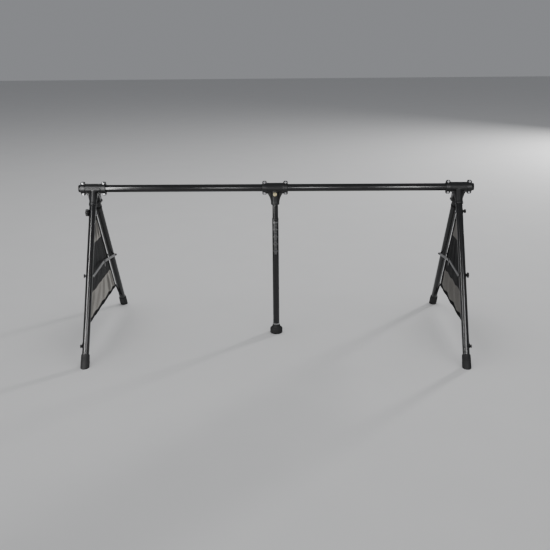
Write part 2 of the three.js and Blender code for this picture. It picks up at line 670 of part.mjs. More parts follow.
/** The brass-coloured screw that holds the middle leg in the neck, with its nut behind. */
function neckScrew() {
  const at = (y) => point(0, y, BAR_HEIGHT - NECK_SCREW_DROP);
  const seat = NECK_RADIUS + FIT_GAP;
  const edge = 2;
  const head = turned(at(-seat), point(0, -1, 0), [
    [0, 0], [NECK_SCREW_HEAD_RADIUS, 0], [NECK_SCREW_HEAD_RADIUS, NECK_SCREW_HEAD_THICKNESS - edge],
    [NECK_SCREW_HEAD_RADIUS - edge, NECK_SCREW_HEAD_THICKNESS], [0, NECK_SCREW_HEAD_THICKNESS],
  ]);
  const shank = rod(at(-seat - 1), at(seat + 1), NECK_SCREW_RADIUS, COARSE);
  const nut = rod(at(seat), at(seat + NECK_SCREW_NUT_THICKNESS), NECK_SCREW_NUT_RADIUS, HEXAGON);
  return join(head, shank, nut);
}

const PLUG_BOTTOM = FOOT_HEIGHT + PLUG_GAP;
const LOWER_TUBE_BOTTOM = PLUG_BOTTOM + PLUG_COLLAR_HEIGHT + FIT_GAP;

function lowerTube() {
  const inner = LOWER_TUBE_RADIUS - LOWER_TUBE_WALL;
  return pipe(onAxis(LOWER_TUBE_BOTTOM), onAxis(LOWER_TUBE_TOP), LOWER_TUBE_RADIUS, inner);
}

/** The slim guide ring on the mouth of the lower tube. */
function guideRing() {
  const bottom = LOWER_TUBE_TOP + FIT_GAP;
  const outer = LOWER_TUBE_RADIUS + GUIDE_RING_RISE;
  return pipe(onAxis(bottom), onAxis(bottom + GUIDE_RING_HEIGHT), outer, UPPER_TUBE_RADIUS + FIT_GAP);
}

/** The pale plug in the lower end of the lower tube. */
function footPlug() {
  const spigot = LOWER_TUBE_RADIUS - LOWER_TUBE_WALL - FIT_GAP;
  const bore = STUD_RADIUS + FIT_GAP;
  const top = PLUG_COLLAR_HEIGHT + PLUG_SPIGOT_HEIGHT;
  return turned(onAxis(PLUG_BOTTOM), Z_AXIS, [
    [bore, 0], [PLUG_COLLAR_RADIUS, 0], [PLUG_COLLAR_RADIUS, PLUG_COLLAR_HEIGHT],
    [spigot, PLUG_COLLAR_HEIGHT], [spigot, top], [bore, top], [bore, 0],
  ]);
}

function footStud() {
  const top = PLUG_BOTTOM + PLUG_COLLAR_HEIGHT + PLUG_SPIGOT_HEIGHT + STUD_TAIL;
  return rod(onAxis(STUD_SEAT + FIT_GAP), onAxis(top), STUD_RADIUS, COARSE);
}

/** The rubber foot: a heavy rim that steps in to a cone. */
function centreFoot() {
  const bore = STUD_RADIUS + FIT_GAP;
  const rim = [[FOOT_RADIUS - 4, 0], [FOOT_RADIUS, 5], [FOOT_RADIUS, 32], [FOOT_RADIUS - 5, 40]];
  const cone = [[FOOT_RADIUS - 12, 44], [PLUG_COLLAR_RADIUS + 1, FOOT_HEIGHT]];
  const hole = [[bore, FOOT_HEIGHT], [bore, STUD_SEAT], [0, STUD_SEAT]];
  return turned(onAxis(0), Z_AXIS, [[0, 0], ...rim, ...cone, ...hole]);
}

// ---- assembly -----------------------------------------------------------------------------

function addBolts(coupler, centreX) {
  EAR_PLACES.forEach(({ along, upward }, i) => {
    place(`${coupler}_bolt_${i + 1}`, couplerBolt(centreX + along * EAR_OFFSET, upward), boltFinish);
  });
}

function addAFrame(name, side) {
  place(`${name}_front_leg`, frontLeg(side), tubeFinish);
  place(`${name}_rear_leg`, rearLeg(side), tubeFinish);
  place(`${name}_rear_leg_head`, rearLegHead(side), castFinish);
  place(`${name}_hinge_pin`, hingePin(side), boltFinish);
  place(`${name}_front_cap`, legCap(side, FRONT), rubberFinish);
  place(`${name}_rear_cap`, legCap(side, REAR), rubberFinish);
  place(`${name}_front_link`, frontLink(side), linkFinish);
  place(`${name}_rear_link`, rearLink(side), linkFinish);
  place(`${name}_knee_pin`, kneePin(side), boltFinish);
  place(`${name}_spreader_bolt`, spreaderBolt(side), boltFinish);
  const studEnd = FRONT_LINK_DEPTH + LINK_THICKNESS + KNOB_STUD_TAIL;
  const lowerKnob = knob(side, KNOBS[`${name}_spreader`], FRONT_PIVOT_HEIGHT, studEnd);
  place(`${name}_spreader_knob`, lowerKnob, plasticFinish);
  place(`${name}_banner_knob`, upperKnob(side, KNOBS[`${name}_banner`]), plasticFinish);
  const frontPeg = peg(onLeg(side, FRONT, PEG_HEIGHT), point(side, 0, 0), PEG_HEAD_RADIUS);
  place(`${name}_front_peg`, frontPeg, plasticFinish);
  const rearPeg = peg(onLeg(side, REAR, PEG_HEIGHT), forwardOf(REAR), REAR_PEG_HEAD_RADIUS);
  place(`${name}_rear_peg`, rearPeg, plasticFinish);
  place(`${name}_banner`, banner(side), fabricFinish);
}

for (const [name, side] of Object.entries(SIDES)) {
  place(`bar_${name}`, barTube(side), tubeFinish);
  place(`bar_end_cap_${name}`, barEndCap(side), plasticFinish);
  place(`${name}_coupler_front`, endFrontShell(side), castFinish);
  place(`${name}_coupler_rear`, endRearShell(side), castFinish);
  addBolts(`${name}_coupler`, side * HALF_SPAN);
  addAFrame(name, side);
}

place('centre_coupler_front', centreShell(FRONT), castFinish);
place('centre_coupler_rear', centreShell(REAR), castFinish);
addBolts('centre_coupler', 0);
place('neck_screw', neckScrew(), brassFinish);
place('centre_leg_upper', upperTube(), tubeFinish);
place('centre_leg_lower', lowerTube(), tubeFinish);
place('centre_leg_guide', guideRing(), plasticFinish);
place('foot_plug', footPlug(), palePlasticFinish);
place('foot_stud', footStud(), boltFinish);
place('centre_foot', centreFoot(), rubberFinish);

export default rack;
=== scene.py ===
# Looks of a free-standing bicycle event rack: a long tube on two folding A-frames with fabric
# banners, and a telescoping middle leg. Metres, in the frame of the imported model: +X along the
# bar, +Y towards the rear legs, +Z up, with the origin on the floor under the middle of the bar.
import json
import math
from contextlib import contextmanager

import bmesh
import bpy
import numpy as np
from mathutils import Matrix, Vector


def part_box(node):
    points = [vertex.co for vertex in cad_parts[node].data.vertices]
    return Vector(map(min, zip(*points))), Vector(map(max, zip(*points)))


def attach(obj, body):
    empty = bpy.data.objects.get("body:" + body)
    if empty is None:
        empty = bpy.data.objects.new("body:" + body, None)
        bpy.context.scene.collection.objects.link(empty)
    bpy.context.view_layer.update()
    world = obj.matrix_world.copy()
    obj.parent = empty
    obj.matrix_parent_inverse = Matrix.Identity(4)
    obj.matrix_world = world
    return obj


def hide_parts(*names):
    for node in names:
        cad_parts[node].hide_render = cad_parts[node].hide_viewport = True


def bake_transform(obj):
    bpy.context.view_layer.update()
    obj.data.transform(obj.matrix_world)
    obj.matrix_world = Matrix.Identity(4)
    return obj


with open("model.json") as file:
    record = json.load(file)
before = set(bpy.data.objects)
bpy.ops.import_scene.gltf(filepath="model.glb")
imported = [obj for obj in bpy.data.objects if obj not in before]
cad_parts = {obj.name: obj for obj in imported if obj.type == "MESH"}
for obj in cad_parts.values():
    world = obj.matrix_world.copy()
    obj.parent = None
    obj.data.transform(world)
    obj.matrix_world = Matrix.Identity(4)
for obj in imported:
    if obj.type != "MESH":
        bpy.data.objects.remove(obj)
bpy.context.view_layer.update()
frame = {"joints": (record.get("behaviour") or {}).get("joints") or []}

# ---- places and sizes, from the frame ----

MM = 0.001
SIDES = {"left": -1, "right": 1}
FRONT, REAR = -1, 1
X, Y, Z = Vector((1, 0, 0)), Vector((0, 1, 0)), Vector((0, 0, 1))
JOINTS = {j["name"]: j for j in frame["joints"]}


def middle(node):
    low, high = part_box(node)
    return (low + high) / 2


def extent(node):
    low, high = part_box(node)
    return high - low


def pivot(joint):
    return Vector(JOINTS[joint]["pos_m"])


BAR_HEIGHT = middle("bar_left").z
BAR_RADIUS = extent("bar_left").z / 2
HALF_SPAN = middle("right_coupler_front").x
LEG_RADIUS = extent("right_front_leg").x / 2
LEAN = math.atan2(-pivot("right_front_link_fold").y, BAR_HEIGHT - pivot("right_front_link_fold").z)
COUPLER_LENGTH = extent("centre_coupler_front").x
COUPLER_RADIUS = 30.5 * MM
SPLIT = 1 * MM
EAR_OFFSET = 70 * MM
EAR_HEIGHT = 36 * MM
EAR_HALF_WIDTH = 15 * MM
EAR_RADIUS = 9.5 * MM
EAR_THICKNESS = 10 * MM
BAND_RADIUS = 32.5 * MM
STEM_RADIUS = 25.7 * MM
LUG_INNER, LUG_OUTER = 24.2 * MM, 33 * MM
GAP = 0.3 * MM
TUBE_WALL, THIN_TUBE_WALL = 2.5 * MM, 2 * MM
PEG_HEIGHT = 118 * MM
KNEE = Vector((0, middle("left_knee_pin").y, middle("left_knee_pin").z))


def on_bar(x):
    return Vector((x, 0, BAR_HEIGHT))


def on_leg(side, end, height):
    """A point on a leg's axis at a height above the floor."""
    return Vector((side * HALF_SPAN, end * (BAR_HEIGHT - height) * math.tan(LEAN), height))


def up_leg(end):
    return Vector((0, -end * math.sin(LEAN), math.cos(LEAN)))


def forward_of(end):
    """Square to a leg in the plane of its A-frame, towards the other leg."""
    return Vector((0, -end * math.cos(LEAN), -math.sin(LEAN)))


def inward(side, place, depth):
    return place + Vector((-side * depth, 0, 0))


# ---- materials ----


class Finish:
    """A procedural material under construction."""

    def __init__(self, name, roughness=0.5, metallic=0.0, specular=0.5, sheen=0.0):
        self.material = bpy.data.materials.new(name)
        self.material.use_nodes = True
        self.tree = self.material.node_tree
        self.where = self.tree.nodes.new("ShaderNodeTexCoord")
        self.set("Roughness", roughness)
        self.set("Metallic", metallic)
        self.set("Specular IOR Level", specular)
        self.set("Sheen Weight", sheen)

    def feed(self, socket, value):
        """Links another node's output to a socket, or gives the socket a plain value."""
        if isinstance(value, bpy.types.NodeSocket):
            self.tree.links.new(value, socket)
        else:
            socket.default_value = (*value, 1) if socket.type == "RGBA" else value

    def set(self, name, value):
        self.feed(self.tree.nodes["Principled BSDF"].inputs[name], value)

    def node(self, kind, inputs, **settings):
        """A shader node with its settings, and with a value or another node's output for each input."""
        node = self.tree.nodes.new(f"ShaderNode{kind}")
        for setting, value in settings.items():
            setattr(node, setting, value)
        for socket, value in inputs.items():
            self.feed(node.inputs[socket], value)
        return node

    def coordinates(self, kind, scale):
        return self.node("Mapping", {"Vector": self.where.outputs[kind], "Scale": scale}).outputs["Vector"]

    def noise(self, size, kind="Object", stretch=(1, 1, 1), detail=4.0, roughness=0.55):
        """Cloudy noise whose features are about size metres across, times stretch."""
        place = self.coordinates(kind, [1 / (size * s) for s in stretch])
        inputs = {"Vector": place, "Scale": 1.0, "Detail": detail, "Roughness": roughness}
        return self.node("TexNoise", inputs).outputs["Fac"]

    def threads(self, pitch, direction):
        """Rounded threads of one direction of a weave, on the cloth's own coordinates."""
        wave_length = 20 / (2 * math.pi)
        place = self.coordinates("UV", [1 / (pitch * wave_length)] * 3)
        inputs = {"Vector": place, "Scale": 1.0, "Distortion": 0.4, "Detail": 1.0}
        settings = {"wave_type": "BANDS", "bands_direction": direction, "wave_profile": "SIN"}
        return self.node("TexWave", inputs, **settings).outputs["Fac"]

    def spread(self, value, low, high, out_low=0, out_high=1):
        inputs = {"Value": value, "From Min": low, "From Max": high, "To Min": out_low, "To Max": out_high}
        return self.node("MapRange", inputs).outputs["Result"]

    def combine(self, operation, first, second):
        return self.node("Math", {0: first, 1: second}, operation=operation).outputs[0]

    def blend(self, factor, first, second):
        """Mixes two colours; a mix node has them in its inputs 6 and 7."""
        inputs = {"Factor": factor, 6: first, 7: second}
        return self.node("Mix", inputs, data_type="RGBA").outputs[2]

    def tones(self, value, low, high, color, first, second):
        """From one tone of a colour to another as a value goes from low to high."""
        return self.blend(self.spread(value, low, high), tone(color, first), tone(color, second))

    def bump(self, height, distance, strength):
        inputs = {"Distance": distance, "Strength": strength, "Height": height}
        self.set("Normal", self.node("Bump", inputs).outputs["Normal"])


def tone(color, factor):
    return tuple(c * factor for c in color)


def extruded_metal(name, color, roughness, metallic, streak=0.25):
    """Drawn tube or bar: fine streaks along it, faint clouds, and a few rubbed marks."""
    f = Finish(name, metallic=metallic)
    streaks = f.noise(1.2 * MM, "UV", (1, 120, 1), detail=3)
    clouds = f.noise(60 * MM, detail=3)
    rubbed = f.spread(f.noise(7 * MM, "UV", (1, 5, 1), detail=6, roughness=0.7), 0.68, 0.8, 0, 0.4)
    base = f.tones(streaks, 0.35, 0.65, color, 1 - streak, 1 + streak)
    f.set("Base Color", f.blend(rubbed, base, tone(color, 2)))
    cloudy, streaky = f.spread(clouds, 0.35, 0.65, -0.02, 0.02), f.spread(streaks, 0.3, 0.7, -0.01, 0.02)
    f.set("Roughness", f.combine("ADD", f.combine("ADD", cloudy, streaky), roughness))
    f.bump(streaks, 0.003 * MM, 0.15)
    return f.material


def cast_metal(name, color, roughness):
    """Painted casting: a fine orange-peel grain, worn a little paler here and there."""
    f = Finish(name, metallic=0.2)
    grain = f.noise(0.9 * MM, detail=3)
    clouds = f.noise(22 * MM, detail=4)
    worn = f.spread(f.noise(4 * MM, detail=7, roughness=0.75), 0.64, 0.76, 0, 0.45)
    base = f.tones(clouds, 0.35, 0.65, color, 0.8, 1.2)
    f.set("Base Color", f.blend(worn, base, tone(color, 2.4)))
    f.set("Roughness", f.spread(grain, 0.3, 0.7, roughness - 0.08, roughness + 0.1))
    f.bump(f.combine("ADD", grain, f.combine("MULTIPLY", clouds, 1.5)), 0.12 * MM, 0.6)
    return f.material


def plated_metal(name, color, roughness):
    """Small turned or pressed metal pieces, with a machined haze and handling marks."""
    f = Finish(name, metallic=1.0)
    haze = f.noise(1.5 * MM, stretch=(1, 1, 6), detail=4)
    marks = f.noise(9 * MM, detail=6, roughness=0.7)
    f.set("Base Color", f.tones(marks, 0.35, 0.7, color, 1.1, 0.72))
    f.set("Roughness", f.spread(haze, 0.3, 0.7, roughness - 0.08, roughness + 0.12))
    f.bump(haze, 0.03 * MM, 0.4)
    return f.material


def moulded(name, color, roughness, grain_size=0.7 * MM, depth=0.05 * MM):
    """Moulded rubber or plastic: a fine even texture with scuffed, dustier patches."""
    f = Finish(name, specular=0.4)
    grain = f.noise(grain_size, detail=2)
    scuffs = f.spread(f.noise(14 * MM, detail=7, roughness=0.7), 0.52, 0.72, 0, 0.6)
    f.set("Base Color", f.blend(scuffs, color, tone(color, 1.8)))
    f.set("Roughness", f.combine("ADD", f.spread(grain, 0.3, 0.7, -0.06, 0.06), roughness))
    f.bump(grain, depth, 0.6)
    return f.material


def woven(name, color, pitch, sheen=0.03):
    """Plain-weave cloth: warp over weft, slubs in the threads, and faint soiling."""
    f = Finish(name, specular=0.1, sheen=sheen)
    f.set("Sheen Roughness", 0.5)
    weave = f.combine("MAXIMUM", f.threads(pitch, "X"), f.threads(pitch, "Y"))
    slubs = f.noise(3 * MM, "UV", (0.5, 12, 1), detail=3)
    soiling = f.noise(110 * MM, "UV", detail=5)
    base = f.tones(weave, 0.5, 1.0, color, 0.84, 1.08)
    base = f.blend(f.spread(slubs, 0.4, 0.7, 0, 0.35), base, tone(color, 1.18))
    f.set("Base Color", f.blend(f.spread(soiling, 0.45, 0.75, 0, 0.4), base, tone(color, 0.82)))
    f.set("Roughness", f.spread(weave, 0.4, 1.0, 0.95, 0.8))
    f.bump(f.combine("ADD", weave, f.combine("MULTIPLY", slubs, 0.6)), 0.22 * MM, 0.7)
    return f.material


BLACK_TUBE = extruded_metal("black_anodised_tube", (0.012, 0.0122, 0.013), 0.22, 0.0)
CAST = cast_metal("black_cast", (0.014, 0.0142, 0.015), 0.42)
GREY_BAR = extruded_metal("grey_aluminium_bar", (0.13, 0.13, 0.132), 0.42, 0.3, streak=0.08)
STEEL = plated_metal("zinc_plated_steel", (0.36, 0.36, 0.37), 0.36)
BLACK_STEEL = plated_metal("black_plated_steel", (0.035, 0.035, 0.037), 0.4)
BRASS = plated_metal("brass_tone", (0.62, 0.54, 0.33), 0.33)
RUBBER = moulded("black_rubber", (0.014, 0.014, 0.0145), 0.72)
PLASTIC = moulded("black_plastic", (0.015, 0.015, 0.0155), 0.45, grain_size=0.45 * MM, depth=0.03 * MM)
PALE_PLASTIC = moulded("pale_plastic", (0.30, 0.30, 0.30), 0.55, depth=0.02 * MM)
MARK = moulded("pale_marking", (0.42, 0.42, 0.42), 0.6, depth=0.01 * MM)
CLOTH = woven("light_banner_cloth", (0.20, 0.192, 0.178), 1.1 * MM)
BAND = woven("dark_banner_cloth", (0.019, 0.019, 0.0195), 1.1 * MM)
BINDING = woven("black_binding", (0.010, 0.010, 0.0105), 1.6 * MM, sheen=0.0)
WEBBING = woven("black_webbing", (0.020, 0.020, 0.0205), 1.4 * MM, sheen=0.0)
THREAD = woven("grey_thread", (0.05, 0.05, 0.05), 0.5 * MM, sheen=0.0)

# ---- forms ----


class Form:
    """Points and faces, with a place on the surface, in metres, for each corner of each face."""

    def __init__(self, points=(), faces=(), places=()):
        self.points = [Vector(p) for p in points]
        self.faces = [list(f) for f in faces]
        self.places = [list(p) for p in places]

    def add(self, other):
        shift = len(self.points)
        self.points += other.points
        self.faces += [[i + shift for i in f] for f in other.faces]
        self.places += other.places
        return self


def curve(start, bend, stop, steps):
    """The points of a quadratic curve that leaves and arrives towards its bend."""
    shares = [i / steps for i in range(steps + 1)]
    return [tuple((1 - t) ** 2 * start + 2 * t * (1 - t) * bend + t * t * stop) for t in shares]


def soften(profile, radius=0.8 * MM, steps=3):
    """The outline with its corners turned into small curves."""
    out = [tuple(profile[0])]
    for before, corner, after in zip(profile, profile[1:], profile[2:]):
        a, b, c = Vector(before), Vector(corner), Vector(after)
        reach = min(radius, (a - b).length / 2.1, (c - b).length / 2.1)
        start = b + (a - b).normalized() * reach
        stop = b + (c - b).normalized() * reach
        out += curve(start, b, stop, steps)
    return out + [tuple(profile[-1])]


def revolved(start, direction, profile, sides=72, wave=None):
    """A solid of revolution of [radius, distance] pairs. wave(angle) scales the radius."""
    axis = Vector(direction).normalized()
    first = axis.orthogonal().normalized()
    second = axis.cross(first)
    angles = [2 * math.pi * i / sides for i in range(sides)]
    form, rings, travelled = Form(), [], [0.0]
    for (r0, d0), (r1, d1) in zip(profile, profile[1:]):
        travelled.append(travelled[-1] + math.hypot(r1 - r0, d1 - d0))
    for radius, distance in profile:
        centre = Vector(start) + axis * distance
        if radius < 1e-7:
            rings.append([len(form.points)])
            form.points.append(centre)
            continue
        rings.append(list(range(len(form.points), len(form.points) + sides)))
        for angle in angles:
            reach = radius * (wave(angle) if wave else 1)
            form.points.append(centre + (first * math.cos(angle) + second * math.sin(angle)) * reach)
    widest = max(radius for radius, _ in profile)
    for k, (a, b) in enumerate(zip(rings, rings[1:])):
        if len(a) == len(b) == 1:
            continue
        for i in range(sides):
            j = (i + 1) % sides
            u0, u1 = widest * angles[i], widest * (angles[i] + 2 * math.pi / sides)
            v0, v1 = travelled[k], travelled[k + 1]
            corners = [(a[i % len(a)], (u0, v0)), (b[i % len(b)], (u0, v1)),
                       (b[j % len(b)], (u1, v1)), (a[j % len(a)], (u1, v0))]
            if len(a) == 1 or len(b) == 1:
                del corners[3 if len(a) == 1 else 2]
            form.faces.append([point for point, _ in corners])
            form.places.append([place for _, place in corners])
    return form


def rod(start, end, radius, sides=72, edge=0.6 * MM):
    length = (Vector(end) - Vector(start)).length
    profile = soften([(0, 0), (radius, 0), (radius, length), (0, length)], edge)
    return revolved(start, Vector(end) - Vector(start), profile, sides)


def ring_profile(inner, outer, length, edge):
    """The closed section of a tube or ring; it starts halfway along the bore."""
    return soften([(inner, length / 2), (inner, 0), (outer, 0), (outer, length), (inner, length),
                   (inner, length / 2)], edge)


def pipe(start, end, outer, inner, sides):
    run = Vector(end) - Vector(start)
    return revolved(start, run, ring_profile(inner, outer, run.length, 0.5 * MM), sides)


def prism(outline, start, across, up, depth):
    """An outline of [across, up] points, extruded from start along across x up."""
    out = across.cross(up) * depth
    near = [Vector(start) + across * a + up * b for a, b in outline]
    count = len(outline)
    form = Form(near + [p + out for p in near])
    form.faces = [list(range(count))[::-1], list(range(count, 2 * count))]
    form.places = [[tuple(p) for p in outline][::-1], [tuple(p) for p in outline]]
    travelled = 0.0
    for i in range(count):
        j = (i + 1) % count
        step = math.dist(outline[i], outline[j])
        form.faces.append([i, j, j + count, i + count])
        u0, u1 = travelled, travelled + step
        form.places.append([(u0, 0), (u1, 0), (u1, depth), (u0, depth)])
        travelled += step
    return form


def block(low, high):
    size = Vector(high) - Vector(low)
    outline = [(0, 0), (size.x, 0), (size.x, size.z), (0, size.z)]
    return prism(outline, Vector((low[0], high[1], low[2])), X, Z, size.y)


def lofted(sections):
    """Four-cornered sections joined in a row, with a flat end at each end of it."""
    form = Form([point for section in sections for point in section])
    width, thickness = [(sections[0][k + 1] - sections[0][k]).length for k in (0, 1)]
    travelled = 0.0
    for i, (here, there) in enumerate(zip(sections, sections[1:])):
        v0, v1 = travelled, travelled + ((there[0] + there[2]) / 2 - (here[0] + here[2]) / 2).length
        for k in range(4):
            j = (k + 1) % 4
            form.faces.append([4 * i + k, 4 * i + j, 4 * i + 4 + j, 4 * i + 4 + k])
            form.places.append([(k * width, v0), (j * width, v0), (j * width, v1), (k * width, v1)])
        travelled = v1
    for first, order in ((0, (3, 2, 1, 0)), (4 * len(sections) - 4, (0, 1, 2, 3))):
        form.faces.append([first + k for k in order])
        form.places.append([(0, 0), (width, 0), (width, thickness), (0, thickness)])
    return form


def arc(x, y, radius, start, stop, steps):
    turns = (start + (stop - start) * i / steps for i in range(steps + 1))
    return [(x + radius * math.cos(t), y + radius * math.sin(t)) for t in turns]


def belt(a, radius_a, b, radius_b, steps=16):
    """The outline that wraps two circles."""
    heading = math.atan2(b[1] - a[1], b[0] - a[0])
    tilt = math.acos((radius_a - radius_b) / math.dist(a, b))
    around_a = arc(*a, radius_a, heading + tilt, heading + 2 * math.pi - tilt, steps)
    return around_a + arc(*b, radius_b, heading - tilt, heading + tilt, steps)


def side_plate(side, outline, from_depth, to_depth):
    """A flat plate beside a leg, between two depths. Its outline is [y, z] points."""
    low = min(-side * from_depth, -side * to_depth)
    return prism(outline, Vector((side * HALF_SPAN + low, 0, 0)), Y, Z, abs(to_depth - from_depth))


def across(side, centre, from_depth, to_depth, radius, sides=48, edge=0.4 * MM):
    return rod(inward(side, centre, from_depth), inward(side, centre, to_depth), radius, sides, edge)


def hexagon_across(side, centre, from_depth, to_depth, across_flats):
    return hexagon(inward(side, centre, from_depth), inward(side, centre, to_depth), across_flats)


def hexagon(start, end, across_flats):
    """A hexagon head with its corners turned off at the outer end."""
    corner = across_flats / math.sqrt(3)
    length = (Vector(end) - Vector(start)).length
    profile = [(0, 0), (corner, 0), (corner, length * 0.82), (corner * 0.9, length), (0, length)]
    return revolved(start, Vector(end) - Vector(start), profile, 6)


# ---- pieces ----


@contextmanager
def edited(mesh):
    """The mesh opened for editing; its faces are turned outward as it is closed again."""
    shape = bmesh.new()
    shape.from_mesh(mesh)
    yield shape
    bmesh.ops.recalc_face_normals(shape, faces=shape.faces)
    shape.to_mesh(mesh)
    shape.free()


def mesh_of(name, parts):
    """One mesh from (form, material) pairs."""
    whole, index, materials = Form(), [], []
    for form, material in parts:
        if material not in materials:
            materials.append(material)
        index += [materials.index(material)] * len(form.faces)
        whole.add(form)
    mesh = bpy.data.meshes.new(name)
    mesh.from_pydata(whole.points, [], whole.faces)
    layer = mesh.uv_layers.new(name="Surface")
    flat = [place for face in whole.places for place in face]
    layer.data.foreach_set("uv", np.array(flat, np.float32).ravel())
    mesh.polygons.foreach_set("material_index", index)
    for material in materials:
        mesh.materials.append(material)
    with edited(mesh) as shape:
        bmesh.ops.remove_doubles(shape, verts=shape.verts, dist=1e-7)
    return mesh


def smooth(mesh, angle=32):
    mesh.shade_smooth()
    mesh.set_sharp_from_angle(angle=math.radians(angle))


def placed(name, data):
    obj = bpy.data.objects.new(name, data)
    bpy.context.scene.collection.objects.link(obj)
    return obj


def show(name, mesh, body, replaces=(), bevel=0.0):
    """A finished piece, bevelled and attached to its body when asked, with the CAD parts it replaces hidden."""
    obj = placed(name, mesh)
    if bevel:
        edge = obj.modifiers.new("edges", "BEVEL")
        edge.width, edge.segments, edge.limit_method = bevel, 3, "ANGLE"
        edge.angle_limit = math.radians(35)
    if body:
        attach(obj, body)
    if replaces:
        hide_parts(*replaces)
    return obj


def piece(name, parts, body, replaces=(), bevel=0.0):
    mesh = mesh_of(name, parts)
    smooth(mesh)
    show(name, mesh, body, replaces, bevel)


def stand_in(node, word, form, material, body, bevel=0.0):
    """The visual piece of one material that replaces one CAD node."""
    piece(f"{node}_{word}", [(form, material)], body, [node], bevel)


def applied(obj):
    """The mesh of an object with its modifiers applied; the object is removed."""
    evaluated = obj.evaluated_get(bpy.context.evaluated_depsgraph_get())
    mesh = bpy.data.meshes.new_from_object(evaluated)
    bpy.data.objects.remove(obj)
    return mesh


def sliced_flat(shape, point, normal):
    """Cuts away what lies behind a plane and closes the cut; gives the new faces."""
    geometry = [*shape.verts, *shape.edges, *shape.faces]
    cut = bmesh.ops.bisect_plane(
        shape, geom=geometry, plane_co=point, plane_no=normal, clear_inner=True, dist=1e-6)
    rim = [e for e in cut["geom_cut"] if isinstance(e, bmesh.types.BMEdge)]
    return bmesh.ops.contextual_create(shape, geom=rim)["faces"]


# ---- bar ----


def bar(name, side):
    node = f"bar_{name}"
    low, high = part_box(node)
    inner, outer = sorted((low.x, high.x), key=abs)
    tube = pipe(on_bar(inner), on_bar(outer), BAR_RADIUS, BAR_RADIUS - TUBE_WALL, 128)
    stand_in(node, "tube", tube, BLACK_TUBE, "frame")

    cap = f"bar_end_cap_{name}"
    thick = 24 * MM
    start = on_bar(outer + side * GAP - side * thick)
    end = extent(cap).x
    profile = soften([
        (0, 0), (BAR_RADIUS - 2.9 * MM, 0), (BAR_RADIUS - 2.8 * MM, thick), (BAR_RADIUS, thick),
        (BAR_RADIUS, end - 1 * MM), (BAR_RADIUS - 2.5 * MM, end), (BAR_RADIUS - 6 * MM, end),
        (BAR_RADIUS - 7.5 * MM, end - 1.4 * MM), (0, end - 1.4 * MM),
    ], 0.9 * MM)
    stand_in(cap, "plug", revolved(start, X * side, profile, 96), PLASTIC, "frame")


# ---- couplers ----

EARS = [(along, upward) for along in (-1, 1) for upward in (-1, 1)]
CAST_GRAIN = 1.25 * MM


def round_bar(centre, reach, radius, edge=1 * MM):
    """A cylinder on the bar's axis, reaching as far to either side of its centre."""
    return rod(centre - X * reach, centre + X * reach, radius, 96, edge)


def shell_blank(x, face):
    """The clamping sleeve of one shell: barrel, rail and four ears, before it is split."""
    form = round_bar(on_bar(x), COUPLER_LENGTH / 2, COUPLER_RADIUS)
    rail = COUPLER_RADIUS + 2.2 * MM
    form.add(block((x - EAR_OFFSET, -5 * MM, BAR_HEIGHT - rail), (x + EAR_OFFSET, 5 * MM, BAR_HEIGHT + rail)))
    corner = EAR_HALF_WIDTH - EAR_RADIUS
    for along, upward in EARS:
        right = arc(corner, EAR_HEIGHT, EAR_RADIUS, 0, math.pi / 2, 8)
        left = arc(-corner, EAR_HEIGHT, EAR_RADIUS, math.pi / 2, math.pi, 8)
        outline = [(EAR_HALF_WIDTH, 20 * MM), *right, *left, (-EAR_HALF_WIDTH, 20 * MM)]
        outline = [(a, b * upward) for a, b in outline][::upward]
        start = Vector((x + along * EAR_OFFSET, max(0, face * EAR_THICKNESS), BAR_HEIGHT))
        form.add(prism(outline, start, X, Z, EAR_THICKNESS))
    for along in (-1, 1):
        form.add(round_bar(on_bar(x) + X * along * EAR_OFFSET, EAR_HALF_WIDTH - 0.3 * MM, BAND_RADIUS))
    return form


def spot_faces(x, face):
    """Flat seats for the bolt heads or nuts on one shell."""
    seats = []
    for along, upward in EARS:
        centre = Vector((x + along * EAR_OFFSET, face * EAR_THICKNESS, BAR_HEIGHT + upward * EAR_HEIGHT))
        seats.append(rod(centre, centre + Y * face * 60 * MM, 8.6 * MM, 48, 0.2 * MM))
    return seats


def front_pad(x):
    """The plain raised pad on the front of a coupler."""
    outline = belt((-42 * MM, 1 * MM), 8.5 * MM, (42 * MM, 1 * MM), 8.5 * MM)
    return prism(outline, Vector((x, -COUPLER_RADIUS + 7 * MM, BAR_HEIGHT)), X, Z, 8.8 * MM)


def casting(node, form, face, cuts):
    """Fuses the forms as a casting with soft fillets, then machines its split face and bores."""
    name = f"{node}_casting"
    obj = placed(name, mesh_of(name, [(form, CAST)]))
    fuse = obj.modifiers.new("fuse", "REMESH")
    fuse.mode, fuse.voxel_size = "VOXEL", CAST_GRAIN
    fillet = obj.modifiers.new("fillet", "SMOOTH")
    fillet.factor, fillet.iterations = 0.5, 5
    mesh = applied(obj)
    with edited(mesh) as shape:
        sliced_flat(shape, (0, face * SPLIT, 0), (0, face, 0))
    obj = placed(f"{name}_cut", mesh)
    tools = [placed("tool", mesh_of("tool", [(cut, CAST)])) for cut in cuts]
    for tool in tools:
        drill = obj.modifiers.new("drill", "BOOLEAN")
        drill.object, drill.operation, drill.solver = tool, "DIFFERENCE", "EXACT"
    mesh = applied(obj)
    for tool in tools:
        bpy.data.objects.remove(tool)
    mesh.materials.clear()
    mesh.materials.append(CAST)
    smooth(mesh, 40)
    show(name, mesh, "frame", [node])


def bar_bore(x):
    return round_bar(on_bar(x), COUPLER_LENGTH, BAR_RADIUS + GAP, 0.6 * MM)


